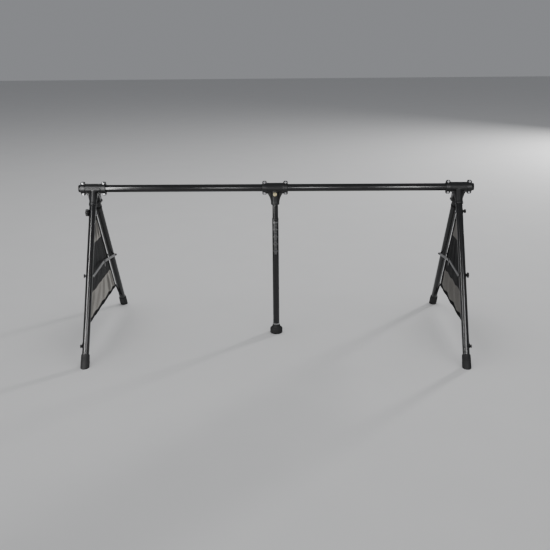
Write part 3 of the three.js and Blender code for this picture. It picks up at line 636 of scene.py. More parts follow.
def end_coupler(name, side):
    x = side * HALF_SPAN
    top, up = on_bar(x), up_leg(FRONT)
    length, slim, collar = 118 * MM, STEM_RADIUS - 0.8 * MM, STEM_RADIUS + 0.8 * MM
    stem = soften([
        (0, 0), (slim, 0), (slim, length - 16 * MM), (collar, length - 13 * MM), (collar, length), (0, length),
    ], 2 * MM)
    web = [(-58 * MM, -20 * MM), (-36 * MM, -52 * MM), (-26 * MM, -80 * MM),
           (26 * MM, -80 * MM), (36 * MM, -52 * MM), (58 * MM, -20 * MM)]
    form = shell_blank(x, FRONT).add(front_pad(x)).add(revolved(top, -up, stem, 96))
    form.add(prism(web, top - X.cross(up) * 4.5 * MM, X, up, 9 * MM))
    socket = rod(top - up * 46 * MM, top - up * 140 * MM, LEG_RADIUS + GAP, 96)
    cuts = [bar_bore(x), socket, *spot_faces(x, FRONT)]
    casting(f"{name}_coupler_front", form, FRONT, cuts)

    hinge = pivot(f"{name}_rear_leg_fold")
    form = shell_blank(x, REAR)
    outline = belt((0, BAR_HEIGHT), COUPLER_RADIUS - 0.5 * MM, (hinge.y, hinge.z), 17 * MM, 24)
    skin = 1.6 * MM
    cheeks = Form()
    for hand in (1, -1):
        form.add(side_plate(side, outline, hand * (LUG_INNER + skin), hand * (LUG_OUTER - skin)))
        below = [(a, min(b, BAR_HEIGHT - 24 * MM)) for a, b in outline if b < BAR_HEIGHT - 2 * MM]
        for start, stop in ((LUG_INNER, LUG_INNER + skin - 0.1 * MM), (LUG_OUTER - skin + 0.1 * MM, LUG_OUTER)):
            cheeks.add(side_plate(side, below, hand * start, hand * stop))
    cuts = [bar_bore(x), *spot_faces(x, REAR)]
    casting(f"{name}_coupler_rear", form, REAR, cuts)
    piece(f"{name}_hinge_cheeks", [(cheeks, GREY_BAR)], "frame", bevel=0.4 * MM)


def centre_coupler(face, word):
    neck_radius, drop = 29 * MM, 113 * MM
    bottom = Vector((0, 0, BAR_HEIGHT - drop))
    profile = soften([
        (0, 0), (neck_radius, 0), (neck_radius, 16 * MM), (neck_radius - 1.2 * MM, 19 * MM),
        (neck_radius - 1.2 * MM, drop - 15 * MM), (0, drop - 15 * MM),
    ], 2 * MM)
    form = shell_blank(0, face).add(revolved(bottom, Z, profile, 96))
    start, bend, stop = Vector((62, -28)) * MM, Vector((33, -48)) * MM, Vector((28, -98)) * MM
    edge = curve(start, bend, stop, 12)
    outline = edge + [(-a, b) for a, b in reversed(edge)]
    form.add(prism(outline[::-1], Vector((0, 7 * MM, BAR_HEIGHT)), X, Z, 14 * MM))
    rim = [(a * 1.02, b) for a, b in edge]
    inner = [(a - 5 * MM, b - 1 * MM) for a, b in edge]
    for mirror in (1, -1):
        bead = [(a * mirror, b) for a, b in rim + inner[::-1]][::mirror]
        form.add(prism(bead[::-1], Vector((0, 10 * MM, BAR_HEIGHT)), X, Z, 20 * MM))
    if face == FRONT:
        form.add(front_pad(0))
    leg_bore = rod(bottom - Z * 5 * MM, on_bar(0), extent("centre_leg_upper").x / 2 + GAP, 96)
    cuts = [bar_bore(0), leg_bore, *spot_faces(0, face)]
    casting(f"centre_coupler_{word}", form, face, cuts)


def coupler_bolts(coupler, x):
    for i, (along, upward) in enumerate(EARS):
        centre = Vector((x + along * EAR_OFFSET, 0, BAR_HEIGHT + upward * EAR_HEIGHT))
        seat = EAR_THICKNESS + GAP
        steel = rod(centre - Y * (seat + 1.4 * MM), centre - Y * seat, 7.4 * MM, 48, 0.3 * MM)
        steel.add(hexagon(centre - Y * (seat + 1.3 * MM), centre - Y * (seat + 6 * MM), 11.5 * MM))
        steel.add(rod(centre - Y * seat, centre + Y * (seat + 7.6 * MM), 3.9 * MM, 48))
        steel.add(hexagon(centre + Y * seat, centre + Y * (seat + 5.8 * MM), 12.6 * MM))
        stand_in(f"{coupler}_bolt_{i + 1}", "steel", steel, STEEL, "frame", 0.3 * MM)


# ---- legs ----


def leg_tubes(name, side):
    bottom_gap = 20 * MM
    for end, word, body in ((FRONT, "front", "frame"), (REAR, "rear", f"{name}_rear_leg")):
        up = up_leg(end)
        foot = on_leg(side, end, 0)
        if end == FRONT:
            top = on_leg(side, end, BAR_HEIGHT) - up * 47 * MM
        else:
            top = pivot(f"{name}_rear_leg_fold") - up * 40.3 * MM
        tube = pipe(foot + up * bottom_gap, top, LEG_RADIUS, LEG_RADIUS - TUBE_WALL, 112)
        stand_in(f"{name}_{word}_leg", "tube", tube, BLACK_TUBE, body)
        leg_cap(name, side, end, word, body)


def leg_cap(name, side, end, word, body):
    """A rubber cup with moulded rings, cut flat where it stands on the floor."""
    below, above, radius = 40 * MM, 84 * MM, 28.5 * MM
    start = on_leg(side, end, 0) - up_leg(end) * below
    bore = LEG_RADIUS + GAP
    profile = [(0, 0), (radius, 0), (radius, below + 34 * MM)]
    for groove in range(4):
        at = below + (40 + 9 * groove) * MM
        profile += [(radius, at), (radius - 1.5 * MM, at + 1.4 * MM), (radius - 1.5 * MM, at + 3 * MM),
                    (radius - 0.3 * groove * MM, at + 4.4 * MM)]
    profile += [(radius - 1.4 * MM, below + above - 5 * MM), (radius - 3.4 * MM, below + above),
                (bore, below + above), (bore, below + 19.7 * MM), (0, below + 19.7 * MM)]
    node = f"{name}_{word}_cap"
    cup = revolved(start, up_leg(end), soften(profile, 1.2 * MM, 2), 96)
    mesh = mesh_of(node, [(cup, RUBBER)])
    with edited(mesh) as shape:
        sole = sliced_flat(shape, (0, 0, 0), (0, 0, 1))
        bmesh.ops.inset_region(shape, faces=sole, thickness=3 * MM, depth=0)
    smooth(mesh)
    show(f"{node}_rubber", mesh, body, [node], 1.4 * MM)


def rear_leg_hinge(name, side):
    hinge = pivot(f"{name}_rear_leg_fold")
    down = -up_leg(REAR)
    radius, length = 23 * MM, 40 * MM
    profile = soften([
        (0, 0), (radius, 0), (radius, length - 3 * MM), (radius - 0.3 * MM, length), (19.7 * MM, length),
        (19.7 * MM, length + 50 * MM), (0, length + 50 * MM),
    ], 1 * MM)
    head = revolved(hinge, down, profile, 96).add(across(side, hinge, -radius, radius, radius, 96, 1.5 * MM))
    stand_in(f"{name}_rear_leg_head", "casting", head, CAST, f"{name}_rear_leg")

    seat = LUG_OUTER + GAP
    pin = across(side, hinge, -seat, seat, 5 * MM)
    for hand in (-1, 1):
        washer = hand * (seat + 1.6 * MM)
        pin.add(across(side, hinge, hand * seat, washer, 9 * MM))
        pin.add(hexagon_across(side, hinge, washer, hand * (seat + 6 * MM), 14.5 * MM))
    stand_in(f"{name}_hinge_pin", "steel", pin, BLACK_STEEL, "frame", 0.3 * MM)


# ---- spreaders ----

LINK_RADIUS = 9 * MM
LINK_THICKNESS = 4 * MM
FRONT_DEPTH = 25.5 * MM
REAR_DEPTH = 30.5 * MM


def link_bar(side, start, depth):
    """A flat bar to the knee, with a pressed rib along its middle."""
    knee = (KNEE.y, KNEE.z)
    end = (start.y, start.z)
    form = side_plate(side, belt(end, LINK_RADIUS, knee, LINK_RADIUS), depth, depth + LINK_THICKNESS)
    along = Vector(knee) - Vector(end)
    first, last = Vector(end) + along * 0.14, Vector(end) + along * 0.72
    rib = belt(tuple(first), 3 * MM, tuple(last), 3 * MM)
    top = depth + LINK_THICKNESS
    return form.add(side_plate(side, rib, top - 0.5 * MM, top + 0.7 * MM))


def spreader(name, side):
    front, rear = pivot(f"{name}_front_link_fold"), pivot(f"{name}_rear_link_fold")
    knee = Vector((side * HALF_SPAN, KNEE.y, KNEE.z))
    top = FRONT_DEPTH + LINK_THICKNESS
    form = link_bar(side, front, FRONT_DEPTH)
    tab = belt((KNEE.y, KNEE.z), 7 * MM, (KNEE.y + 3 * MM, KNEE.z - 36 * MM), 7 * MM)
    form.add(side_plate(side, tab, FRONT_DEPTH + 0.2 * MM, top - 0.2 * MM))
    form.add(across(side, front, LEG_RADIUS + 0.7 * MM, FRONT_DEPTH + 0.5 * MM, 8 * MM))
    form.add(across(side, front, top - 0.5 * MM, top + 4 * MM, 8 * MM))
    stand_in(f"{name}_front_link", "bar", form, GREY_BAR, f"{name}_front_link", 0.7 * MM)

    node = f"{name}_rear_link"
    stand_in(node, "bar", link_bar(side, rear, REAR_DEPTH), GREY_BAR, node, 0.7 * MM)
    top = REAR_DEPTH + LINK_THICKNESS
    dome = soften([(0, 0), (7.5 * MM, 0), (7.5 * MM, 1 * MM), (5 * MM, 2.6 * MM), (0, 3 * MM)], 0.8 * MM)
    rivet = revolved(inward(side, knee, top), Vector((-side, 0, 0)), dome, 48)
    piece(f"{name}_knee_rivet", [(rivet, STEEL)], node)

    form = across(side, knee, FRONT_DEPTH - 2.7 * MM, FRONT_DEPTH - GAP, 8 * MM)
    form.add(across(side, knee, FRONT_DEPTH - 1 * MM, REAR_DEPTH - GAP, 4 * MM))
    stand_in(f"{name}_knee_pin", "steel", form, STEEL, f"{name}_front_link", 0.3 * MM)

    outer, seat = LEG_RADIUS + GAP, top + GAP
    form = across(side, rear, -outer - 1.5 * MM, -outer, 8 * MM)
    form.add(hexagon_across(side, rear, -outer - 1.4 * MM, -outer - 5 * MM, 12 * MM))
    form.add(across(side, rear, -outer, seat, 4 * MM))
    form.add(across(side, rear, outer, REAR_DEPTH - GAP, 8 * MM))
    form.add(hexagon_across(side, rear, seat, seat + 5 * MM, 13.8 * MM))
    stand_in(f"{name}_spreader_bolt", "steel", form, BLACK_STEEL, f"{name}_rear_leg", 0.3 * MM)


# ---- knobs and pegs ----


def knob(name, side, word, centre, stud_depth, hub=6 * MM, waist=0.52):
    """A six-lobed hand knob with a dished face, a cap in its middle and a steel stud."""
    seat = LEG_RADIUS + 0.5 * MM
    out = Vector((side, 0, 0))
    start = inward(side, centre, -seat)
    low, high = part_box(f"{name}_{word}")
    face = abs((low if side < 0 else high).x) - abs(start.x)
    reach = extent(f"{name}_{word}").z / 2
    lobe = 0.1
    radius = reach / (1 + lobe)

    def lobes(angle):
        return 1 + lobe * math.cos(6 * angle)

    neck = soften([(0, 0), (radius * waist, 0), (radius * waist * 0.95, hub + 1 * MM), (0, hub + 1 * MM)])
    form = revolved(start, out, neck, 72)
    body = soften([
        (0, hub), (radius * 0.74, hub), (radius * 0.98, hub + 1.5 * MM), (radius, (hub + face) / 2),
        (radius * 0.93, face - 1.5 * MM), (radius * 0.72, face), (radius * 0.52, face),
        (radius * 0.47, face - 1.2 * MM), (0, face - 1.2 * MM),
    ], 2.2 * MM, 4)
    form.add(revolved(start, out, body, 120, lobes))
    plug = radius * 0.43
    cap_profile = soften([(0, 0), (plug, 0), (plug * 0.97, 0.9 * MM), (0, 1.2 * MM)], 0.4 * MM)
    cap = revolved(start + out * (face - 1.4 * MM), out, cap_profile, 72)
    stud = across(side, centre, -seat, stud_depth, 4 * MM)
    if word == "banner_knob":
        nut_seat = LEG_RADIUS + GAP
        stud.add(hexagon_across(side, centre, nut_seat, nut_seat + 4 * MM, 12 * MM))
    node = f"{name}_{word}"
    piece(f"{node}_grip", [(form, PLASTIC), (cap, RUBBER), (stud, STEEL)], node, [node])


def peg(name, word, body, start, direction, head):
    stem, neck = LEG_RADIUS + GAP, LEG_RADIUS + GAP + 8 * MM
    profile = soften([
        (0, stem - 5 * MM), (4 * MM, stem - 5 * MM), (4 * MM, stem), (7.5 * MM, stem), (6 * MM, stem + 2 * MM),
        (5.6 * MM, neck), (head - 1 * MM, neck + 0.6 * MM), (head, neck + 2.4 * MM),
        (head - 3 * MM, neck + 5 * MM), (head * 0.4, neck + 6 * MM), (0, neck + 6 * MM),
    ], 1 * MM)
    stand_in(f"{name}_{word}_peg", "button", revolved(start, direction, profile, 64), PLASTIC, body)


def knobs_and_pegs(name, side):
    spreader_pivot = pivot(f"{name}_front_link_fold")
    knob(name, side, "spreader_knob", spreader_pivot, FRONT_DEPTH + LINK_THICKNESS + 3 * MM)
    upper = pivot(f"{name}_banner_knob_turn")
    hub, waist = (2.5 * MM, 0.72) if name == "left" else (6 * MM, 0.52)
    knob(name, side, "banner_knob", upper, LEG_RADIUS + 5.3 * MM, hub, waist)
    peg(name, "front", "frame", on_leg(side, FRONT, PEG_HEIGHT), X * side, 13 * MM)
    peg(name, "rear", f"{name}_rear_leg", on_leg(side, REAR, PEG_HEIGHT), forward_of(REAR), 10 * MM)


# ---- middle leg ----


def middle_leg():
    upper_radius, lower_radius = extent("centre_leg_upper").x / 2, extent("centre_leg_lower").x / 2
    for node, radius, body in (("centre_leg_upper", upper_radius, "frame"),
                               ("centre_leg_lower", lower_radius, "centre_leg_lower")):
        low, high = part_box(node)
        tube = pipe(Z * low.z, Z * high.z, radius, radius - THIN_TUBE_WALL, 112)
        stand_in(node, "tube", tube, BLACK_TUBE, body)

    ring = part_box("centre_leg_guide")
    outer, inner, height = lower_radius + 0.8 * MM, upper_radius + GAP, ring[1].z - ring[0].z
    profile = soften([
        (inner, height / 2), (inner, 0), (outer, 0), (outer, height * 0.5), (outer - 1.6 * MM, height),
        (inner, height), (inner, height / 2),
    ], 0.6 * MM)
    form = revolved(Z * ring[0].z, Z, profile, 96)
    stand_in("centre_leg_guide", "ring", form, PLASTIC, "centre_leg_lower")

    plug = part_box("foot_plug")
    collar, spigot, bore = 24 * MM, 20.1 * MM, 6.3 * MM
    profile = soften([
        (bore, 5 * MM), (bore, 0), (collar - 1 * MM, 0), (collar, 2 * MM), (collar - 0.6 * MM, 10 * MM),
        (spigot, 10 * MM), (spigot, 38 * MM), (bore, 38 * MM), (bore, 5 * MM),
    ], 0.9 * MM)
    stand_in("foot_plug", "ring", revolved(Z * plug[0].z, Z, profile, 96), PALE_PLASTIC, "centre_leg_lower")

    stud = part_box("foot_stud")
    turns, pitch = 34, (stud[1].z - stud[0].z) / 34
    thread = [(0, 0)]
    for i in range(turns):
        thread += [(5.2 * MM, pitch * (i + 0.1)), (6 * MM, pitch * (i + 0.6))]
    thread += [(5.2 * MM, pitch * turns), (0, pitch * turns)]
    stand_in("foot_stud", "thread", revolved(Z * stud[0].z, Z, thread, 48), STEEL, "centre_foot")
    round_foot()
    height_marks(lower_radius)


def round_foot():
    """The rubber foot: a heavy rim with a stepped cone, and grooves in the sole."""
    radius, height = extent("centre_foot").x / 2, extent("centre_foot").z
    bore = 6.3 * MM
    profile = [(0, 1.5 * MM), (10 * MM, 1.5 * MM)]
    for ring in (12, 20, 28):
        profile += [(ring * MM, 0), ((ring + 5) * MM, 0), ((ring + 6) * MM, 1.5 * MM)]
    profile += [(38 * MM, 0), (radius - 3 * MM, 0), (radius, 3.5 * MM), (radius, 30 * MM)]
    profile += [(radius - 2 * MM, 36 * MM), (radius - 9 * MM, 42 * MM), (radius - 12 * MM, 43 * MM)]
    profile += [(28 * MM, 50 * MM), (25.5 * MM, height), (bore, height), (bore, 20 * MM), (0, 20 * MM)]
    form = revolved(Z * 0, Z, soften(profile, 2 * MM, 4), 128)
    stand_in("centre_foot", "rubber", form, RUBBER, "centre_foot")
    grips = Form()
    for i in range(36):
        angle = 2 * math.pi * i / 36
        out = Vector((math.cos(angle), math.sin(angle), 0))
        along = Vector((-math.sin(angle), math.cos(angle), 0))
        rib = belt((0, 9 * MM), 1.4 * MM, (0, 27 * MM), 1.4 * MM, 6)
        grips.add(prism(rib, out * (radius - 1.2 * MM), along, Z, 1.2 * MM))
    piece("centre_foot_ribs", [(grips, RUBBER)], "centre_foot", bevel=0.3 * MM)


def height_marks(radius):
    """A plain height scale printed down the front of the lower tube."""
    top, count, pitch = 808 * MM, 23, 10 * MM
    root, shell = radius - 0.1 * MM, radius + 0.12 * MM
    steps = 10
    marks = Form()
    for i in range(count):
        reach, height = (math.radians(40), 3.4 * MM) if i % 5 == 0 else (math.radians(24), 2.4 * MM)
        z = top - i * pitch
        section = ((root, z), (shell, z), (shell, z - height), (root, z - height))
        turns = [-math.pi / 2 - reach + 2 * reach * k / steps for k in range(steps + 1)]
        marks.add(lofted([[Vector((r * math.cos(t), r * math.sin(t), h)) for r, h in section] for t in turns]))
    piece("centre_leg_height_marks", [(marks, MARK)], "centre_leg_lower")


def neck_screw():
    low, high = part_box("neck_screw")
    centre = Vector((0, 0, (low.z + high.z) / 2))
    seat, head = 29.3 * MM, 9 * MM

    def knurl(angle):
        return 1 + 0.018 * math.cos(40 * angle)

    flange = soften([(0, 0), (11.4 * MM, 0), (11.4 * MM, 1.6 * MM), (0, 1.6 * MM)], 0.4 * MM)
    grip = soften([
        (0, 1.5 * MM), (12.7 * MM, 1.5 * MM), (12.7 * MM, 7.4 * MM), (11.2 * MM, head), (7 * MM, head),
        (6 * MM, head - 1.2 * MM), (0, head - 1.2 * MM),
    ], 0.6 * MM)
    brass = revolved(centre - Y * seat, -Y, flange, 96).add(revolved(centre - Y * seat, -Y, grip, 320, knurl))
    brass.add(rod(centre - Y * seat, centre + Y * (seat + 7.8 * MM), 5 * MM, 48))
    brass.add(rod(centre + Y * seat, centre + Y * (seat + 1.4 * MM), 9 * MM, 64))
    brass.add(hexagon(centre + Y * (seat + 1.2 * MM), centre + Y * (seat + 7 * MM), 14 * MM))
    stand_in("neck_screw", "brass", brass, BRASS, "frame", 0.2 * MM)


# ---- banners ----

BINDING_WIDTH = 26 * MM
BAND_LOW, BAND_HIGH = 385 * MM, 676 * MM
SEAM = 4 * MM
CLOTH_THICKNESS = 0.9 * MM
INNER_CLEARANCE, OUTER_CLEARANCE = 29 * MM, 14 * MM


def smooth_share(value):
    return value * value * (3 - 2 * value)


def smooth_step(value):
    return smooth_share(np.clip(value, 0, 1))


def billows(share, rise, rng, creases, reach, crispness):
    """Billows side by side: each rises from a crease, steeply if crisp, and sinks to the next.

    Each crease is its share of the way across, at the foot and at the head of the panel.
    """
    lines = [0 * rise] + [foot + (head - foot) * rise for foot, head in creases] + [0 * rise + 1]
    depth = np.full_like(share, -0.3 * reach)
    for left, right in zip(lines, lines[1:]):
        bow = 0.012 * np.sin(rise * 3 + rng.uniform(0, 6))
        through = np.clip((share + bow - left) / np.maximum(right - left, 0.02), 0, 1)
        fullness = rng.uniform(0.75, 1.15) * (0.85 + 0.15 * np.sin(rise * 2.5 + rng.uniform(0, 6)))
        depth += reach * fullness * smooth_step(through / (0.5 - 0.4 * crispness)) * (1 - through) ** 0.9
    return depth


class Banner:
    """The sewn cloth of one A-frame as a grid: rows go up, columns go from front to rear."""

    def __init__(self, name, side):
        self.name, self.side = name, side
        self.low, self.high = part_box(f"{name}_banner")
        self.offset = on_leg(side, REAR, self.low.z).y - self.high.y - 5 * MM
        self.heights = self.row_heights()
        self.edge_columns = 5
        self.inner_columns = 132
        self.plane = (self.low.x + self.high.x) / 2 - side * 3 * MM
        flat = [[(self.plane, y, z) for y in self.columns(z)] for z in self.heights]
        self.flat = np.array(flat)
        self.grid = self.flat.copy()

    def half_width(self, z):
        return (BAR_HEIGHT - z) * math.tan(LEAN) - self.offset

    def row_heights(self):
        step = 10 * MM
        edges = [self.low.z, self.low.z + BINDING_WIDTH]
        for seam in (BAND_LOW, BAND_HIGH):
            edges += [seam - SEAM, seam, seam + SEAM]
        edges += [self.high.z - BINDING_WIDTH, self.high.z]
        rows = [edges[0]]
        for a, b in zip(edges, edges[1:]):
            count = max(1, round((b - a) / step))
            rows += [a + (b - a) * (i + 1) / count for i in range(count)]
        return rows

    def columns(self, z):
        half = self.half_width(z)
        binding = BINDING_WIDTH / math.cos(LEAN)
        front = [-half + binding * i / self.edge_columns for i in range(self.edge_columns)]
        count = self.inner_columns
        inner = [(-half + binding) + 2 * (half - binding) * i / count for i in range(count + 1)]
        return front + inner + [-y for y in reversed(front)]

    def drape(self, seed, panels):
        """Billows between creases that fan out from the top, held flat at the bound edges.

        Each panel is [bottom, top, creases, depth of the billows, crispness of the creases].
        """
        rng = np.random.default_rng(seed)
        height = self.flat[:, :, 2]
        half = self.half_width(height)
        share = (self.flat[:, :, 1] + half) / (2 * half)
        overlap = 12 * MM
        depth, weight = np.zeros_like(height), np.zeros_like(height)
        for bottom, top, creases, reach, crispness in panels:
            rise = np.clip((height - bottom) / (top - bottom), 0, 1)
            here = smooth_step((height - bottom + overlap) / (2 * overlap))
            here = here * smooth_step((top - height + overlap) / (2 * overlap))
            depth += here * billows(share, rise, rng, creases, reach, crispness)
            weight += here
        depth /= np.maximum(weight, 1e-6)
        side_edge = np.minimum(share, 1 - share) * 2 * half
        end_edge = np.minimum(height - self.low.z, self.high.z - height)
        depth *= smooth_step((side_edge - 12 * MM) / (34 * MM))
        depth *= 0.22 + 0.78 * smooth_step((end_edge - 6 * MM) / (40 * MM))
        seam_edge = np.minimum(abs(height - BAND_LOW), abs(height - BAND_HIGH))
        depth *= 0.35 + 0.65 * smooth_step(seam_edge / (36 * MM))
        for _ in range(5):
            turn, pitch, shift = rng.uniform(0, math.pi), rng.uniform(50, 120) * MM, rng.uniform(0, 6)
            wave = (self.flat[:, :, 1] * math.cos(turn) + height * math.sin(turn)) / pitch * 2 * math.pi
            depth += 0.35 * MM * np.sin(wave + shift)
        for _ in range(2):
            depth[:, 1:-1] = (depth[:, :-2] + 2 * depth[:, 1:-1] + depth[:, 2:]) / 4
            depth[1:-1] = (depth[:-2] + 2 * depth[1:-1] + depth[2:]) / 4
        kept = np.where(depth > 0, INNER_CLEARANCE * np.tanh(depth / INNER_CLEARANCE),
                        OUTER_CLEARANCE * np.tanh(depth / OUTER_CLEARANCE))
        self.grid[:, :, 0] = self.plane - self.side * kept

    def normals(self):
        up = np.gradient(self.grid, axis=0)
        along = np.gradient(self.grid, axis=1)
        n = np.cross(along, up)
        return n / np.maximum(np.linalg.norm(n, axis=2, keepdims=True), 1e-9)

    def patch(self, rows, columns):
        """The faces of the grid between two rows and two columns, as a form."""
        r0, r1 = rows
        c0, c1 = columns
        width = c1 - c0 + 1
        form = Form(self.grid[r0:r1 + 1, c0:c1 + 1].reshape(-1, 3).tolist())
        for r in range(r1 - r0):
            for c in range(c1 - c0):
                corners = [(r, c), (r, c + 1), (r + 1, c + 1), (r + 1, c)]
                form.faces.append([a * width + b for a, b in corners])
                form.places.append([tuple(self.flat[r0 + a, c0 + b, 1:]) for a, b in corners])
        return form

    def row_at(self, height):
        return min(range(len(self.heights)), key=lambda i: abs(self.heights[i] - height))

    def follow_leg(self, obj):
        """Bakes the piece's placement into its mesh; the cloth does not turn with the rear leg."""
        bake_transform(obj)

    def sheet_piece(self, word, parts, thickness, replaces=()):
        name = f"{self.name}_banner_{word}"
        obj = placed(name, mesh_of(name, parts))
        fine = obj.modifiers.new("fine", "SUBSURF")
        fine.levels = fine.render_levels = 1
        fine.boundary_smooth = "PRESERVE_CORNERS"
        thick = obj.modifiers.new("thick", "SOLIDIFY")
        thick.thickness, thick.offset, thick.use_even_offset = thickness, 0, True
        mesh = applied(obj)
        smooth(mesh, 50)
        obj = show(name, mesh, None, replaces)
        self.follow_leg(obj)
        return obj


def stitch(start, end, normal, height):
    """One stitch: a slim grain of thread lying on the cloth."""
    along = end - start
    width = along.cross(normal).normalized() * 0.42 * MM
    middle_point = (start + end) / 2 + normal * height
    rise = normal * 0.45 * MM
    ring = [middle_point + width, middle_point + rise, middle_point - width, middle_point - rise]
    tips = [start + normal * height * 0.7, end + normal * height * 0.7]
    faces = [[4, i, (i + 1) % 4] for i in range(4)] + [[5, (i + 1) % 4, i] for i in range(4)]
    places = [[(0, 0), (MM, 0), (0, MM)]] * 8
    return Form(ring + tips, faces, places)


def stitch_run(line, normals, height):
    """Stitches on both faces of the cloth along a line of surface points."""
    pitch, length = 6.5 * MM, 4 * MM
    form = Form()
    points = [Vector(p) for p in line]
    directions = [Vector(n) for n in normals]
    carried = 0.0
    for a, b, n in zip(points, points[1:], directions):
        reach = (b - a).length
        if reach < 1e-6:
            continue
        along = (b - a) / reach
        while carried < reach:
            start = a + along * carried
            for face in (1, -1):
                form.add(stitch(start, start + along * length, n * face, height))
            carried += pitch
        carried -= reach
    return form


def banner(name, side, seed, lower, band, upper):
    """A sewn banner. Each of its three panels is given as [creases, depth, crispness]."""
    cloth = Banner(name, side)
    cloth.drape(seed, [
        (cloth.low.z, BAND_LOW, *lower), (BAND_LOW, BAND_HIGH, *band), (BAND_HIGH, cloth.high.z, *upper),
    ])
    last_row, last_column = cloth.grid.shape[0] - 1, cloth.grid.shape[1] - 1
    low, high = cloth.row_at(BAND_LOW), cloth.row_at(BAND_HIGH)
    panels = [(cloth.patch(rows, (0, last_column)), material)
              for rows, material in (((0, low), CLOTH), ((low, high), BAND), ((high, last_row), CLOTH))]
    sheet = cloth.sheet_piece("cloth", panels, CLOTH_THICKNESS, [f"{name}_banner"])

    edge = cloth.edge_columns
    hem, top_hem = cloth.row_at(cloth.low.z + BINDING_WIDTH), cloth.row_at(cloth.high.z - BINDING_WIDTH)
    inside = (edge, last_column - edge)
    strips = [((0, last_row), (0, edge)), ((0, last_row), (last_column - edge, last_column)),
              ((0, hem), inside), ((top_hem, last_row), inside)]
    binding = [(cloth.patch(*strip), BINDING) for strip in strips]
    bound = cloth.sheet_piece("binding", binding, 2.8 * MM)
    seams = [(cloth.patch((cloth.row_at(z - SEAM), cloth.row_at(z + SEAM)), inside), BAND)
             for z in (BAND_LOW, BAND_HIGH)]
    seam = cloth.sheet_piece("seams", seams, 1.9 * MM)

    normals = cloth.normals()
    thread = Form()
    proud = 1.5 * MM
    side_inset, end_inset = 0.48, 0.32

    def sew(here, there, share, height):
        """Stitches along one line of the grid, moved a share of the way to the line beside it."""
        line = cloth.grid[here] * (1 - share) + cloth.grid[there] * share
        thread.add(stitch_run(line, normals[here], height))

    upward, across_cloth = slice(hem, top_hem + 1), slice(edge, last_column - edge + 1)
    for c0, c1 in ((edge, edge - 1), (last_column - edge, last_column - edge + 1)):
        sew((upward, c0), (upward, c1), side_inset, proud)
    for r0, r1 in ((hem, hem - 1), (top_hem, top_hem + 1)):
        sew((r0, across_cloth), (r1, across_cloth), end_inset, proud)
    for z in (BAND_LOW, BAND_HIGH):
        for step in (-1, 1):
            beside = cloth.row_at(z + step * SEAM)
            sew((cloth.row_at(z), across_cloth), (beside, across_cloth), 0.6, 1.05 * MM)
    word = f"{name}_banner_stitching"
    stitching = show(word, mesh_of(word, [(thread, THREAD)]), None)
    cloth.follow_leg(stitching)

    straps(cloth)


def ribbon(points, width_directions, width, thickness):
    """Flat webbing along points, free to twist: each width direction is square to the run."""
    sections = []
    for i, (point, direction) in enumerate(zip(points, width_directions)):
        along = (points[min(i + 1, len(points) - 1)] - points[max(i - 1, 0)]).normalized()
        half = direction.normalized() * width / 2
        lift = along.cross(direction).normalized() * thickness / 2
        sections.append([point - half - lift, point + half - lift, point + half + lift, point - half + lift])
    return lofted(sections)


def eyelet(centre, axis, inner, outer, thickness):
    """A flat stitched ring of webbing, square to an axis."""
    return revolved(centre - axis * thickness / 2, axis, ring_profile(inner, outer, thickness, 0.3 * MM), 64)


def straps(cloth):
    """Webbing from each corner of a banner to the knob or peg that holds it, or round the rear leg."""
    name, side = cloth.name, cloth.side
    width, thickness, sewn_on = 15 * MM, 1.6 * MM, 2.3 * MM
    outward = X * side
    rear_body = f"{name}_rear_leg"
    knob_height, loop_height = pivot(f"{name}_banner_knob_turn").z, 902 * MM
    stem = LEG_RADIUS + GAP + 2.6 * MM
    front_peg = on_leg(side, FRONT, PEG_HEIGHT) + outward * stem
    rear_peg = on_leg(side, REAR, PEG_HEIGHT) + forward_of(REAR) * stem
    knob_stem = on_leg(side, FRONT, knob_height) + outward * (LEG_RADIUS + 1.6 * MM)
    loop = on_leg(side, REAR, loop_height)
    corners = [
        ("lower_front", FRONT, 0, 0, front_peg, outward, 6.4 * MM, "frame"),
        ("upper_front", FRONT, -1, 0, knob_stem, outward, 4.4 * MM, "frame"),
        ("lower_rear", REAR, 0, -1, rear_peg, forward_of(REAR), 6.4 * MM, rear_body),
        ("upper_rear", REAR, -1, -1, loop, up_leg(REAR), LEG_RADIUS + 0.3 * MM, rear_body),
    ]
    for word, end, row, column, centre, axis, inner, body in corners:
        corner = Vector(cloth.grid[row, column])
        face = outward * (-sewn_on if word == "lower_rear" else sewn_on)
        start = corner - (centre - corner).normalized() * 14 * MM + face
        round_leg = word == "upper_rear"
        around = forward_of(end) if round_leg else (corner - centre) - axis * (corner - centre).dot(axis)
        stop = centre + around.normalized() * (inner + 0.8 * MM)
        run = [start.lerp(stop, i / 12) for i in range(13)]
        along = (stop - start).normalized()
        first, last = X.cross(along), (up_leg(end) if round_leg else axis.cross(along))
        if first.dot(last) < 0:
            last = -last
        turns = [first.lerp(last, smooth_share(i / 12)) for i in range(13)]
        form = ribbon(run, turns, width, thickness)
        if round_leg:
            form.add(eyelet(centre, axis, inner, inner + 1.1 * MM, width))
        else:
            form.add(eyelet(centre, axis, inner, inner + 4.4 * MM, thickness))
        piece(f"{name}_strap_{word}", [(form, WEBBING)], body, bevel=0.3 * MM)


# ---- stage ----

CAMERA_PLACE = Vector((0.099, -4.547, 1.939)) * BAR_HEIGHT
CAMERA_YAW, CAMERA_PITCH, CAMERA_ROLL = math.radians(1.32), math.radians(18.575), math.radians(-0.563)
CAMERA_LENS = 47.16


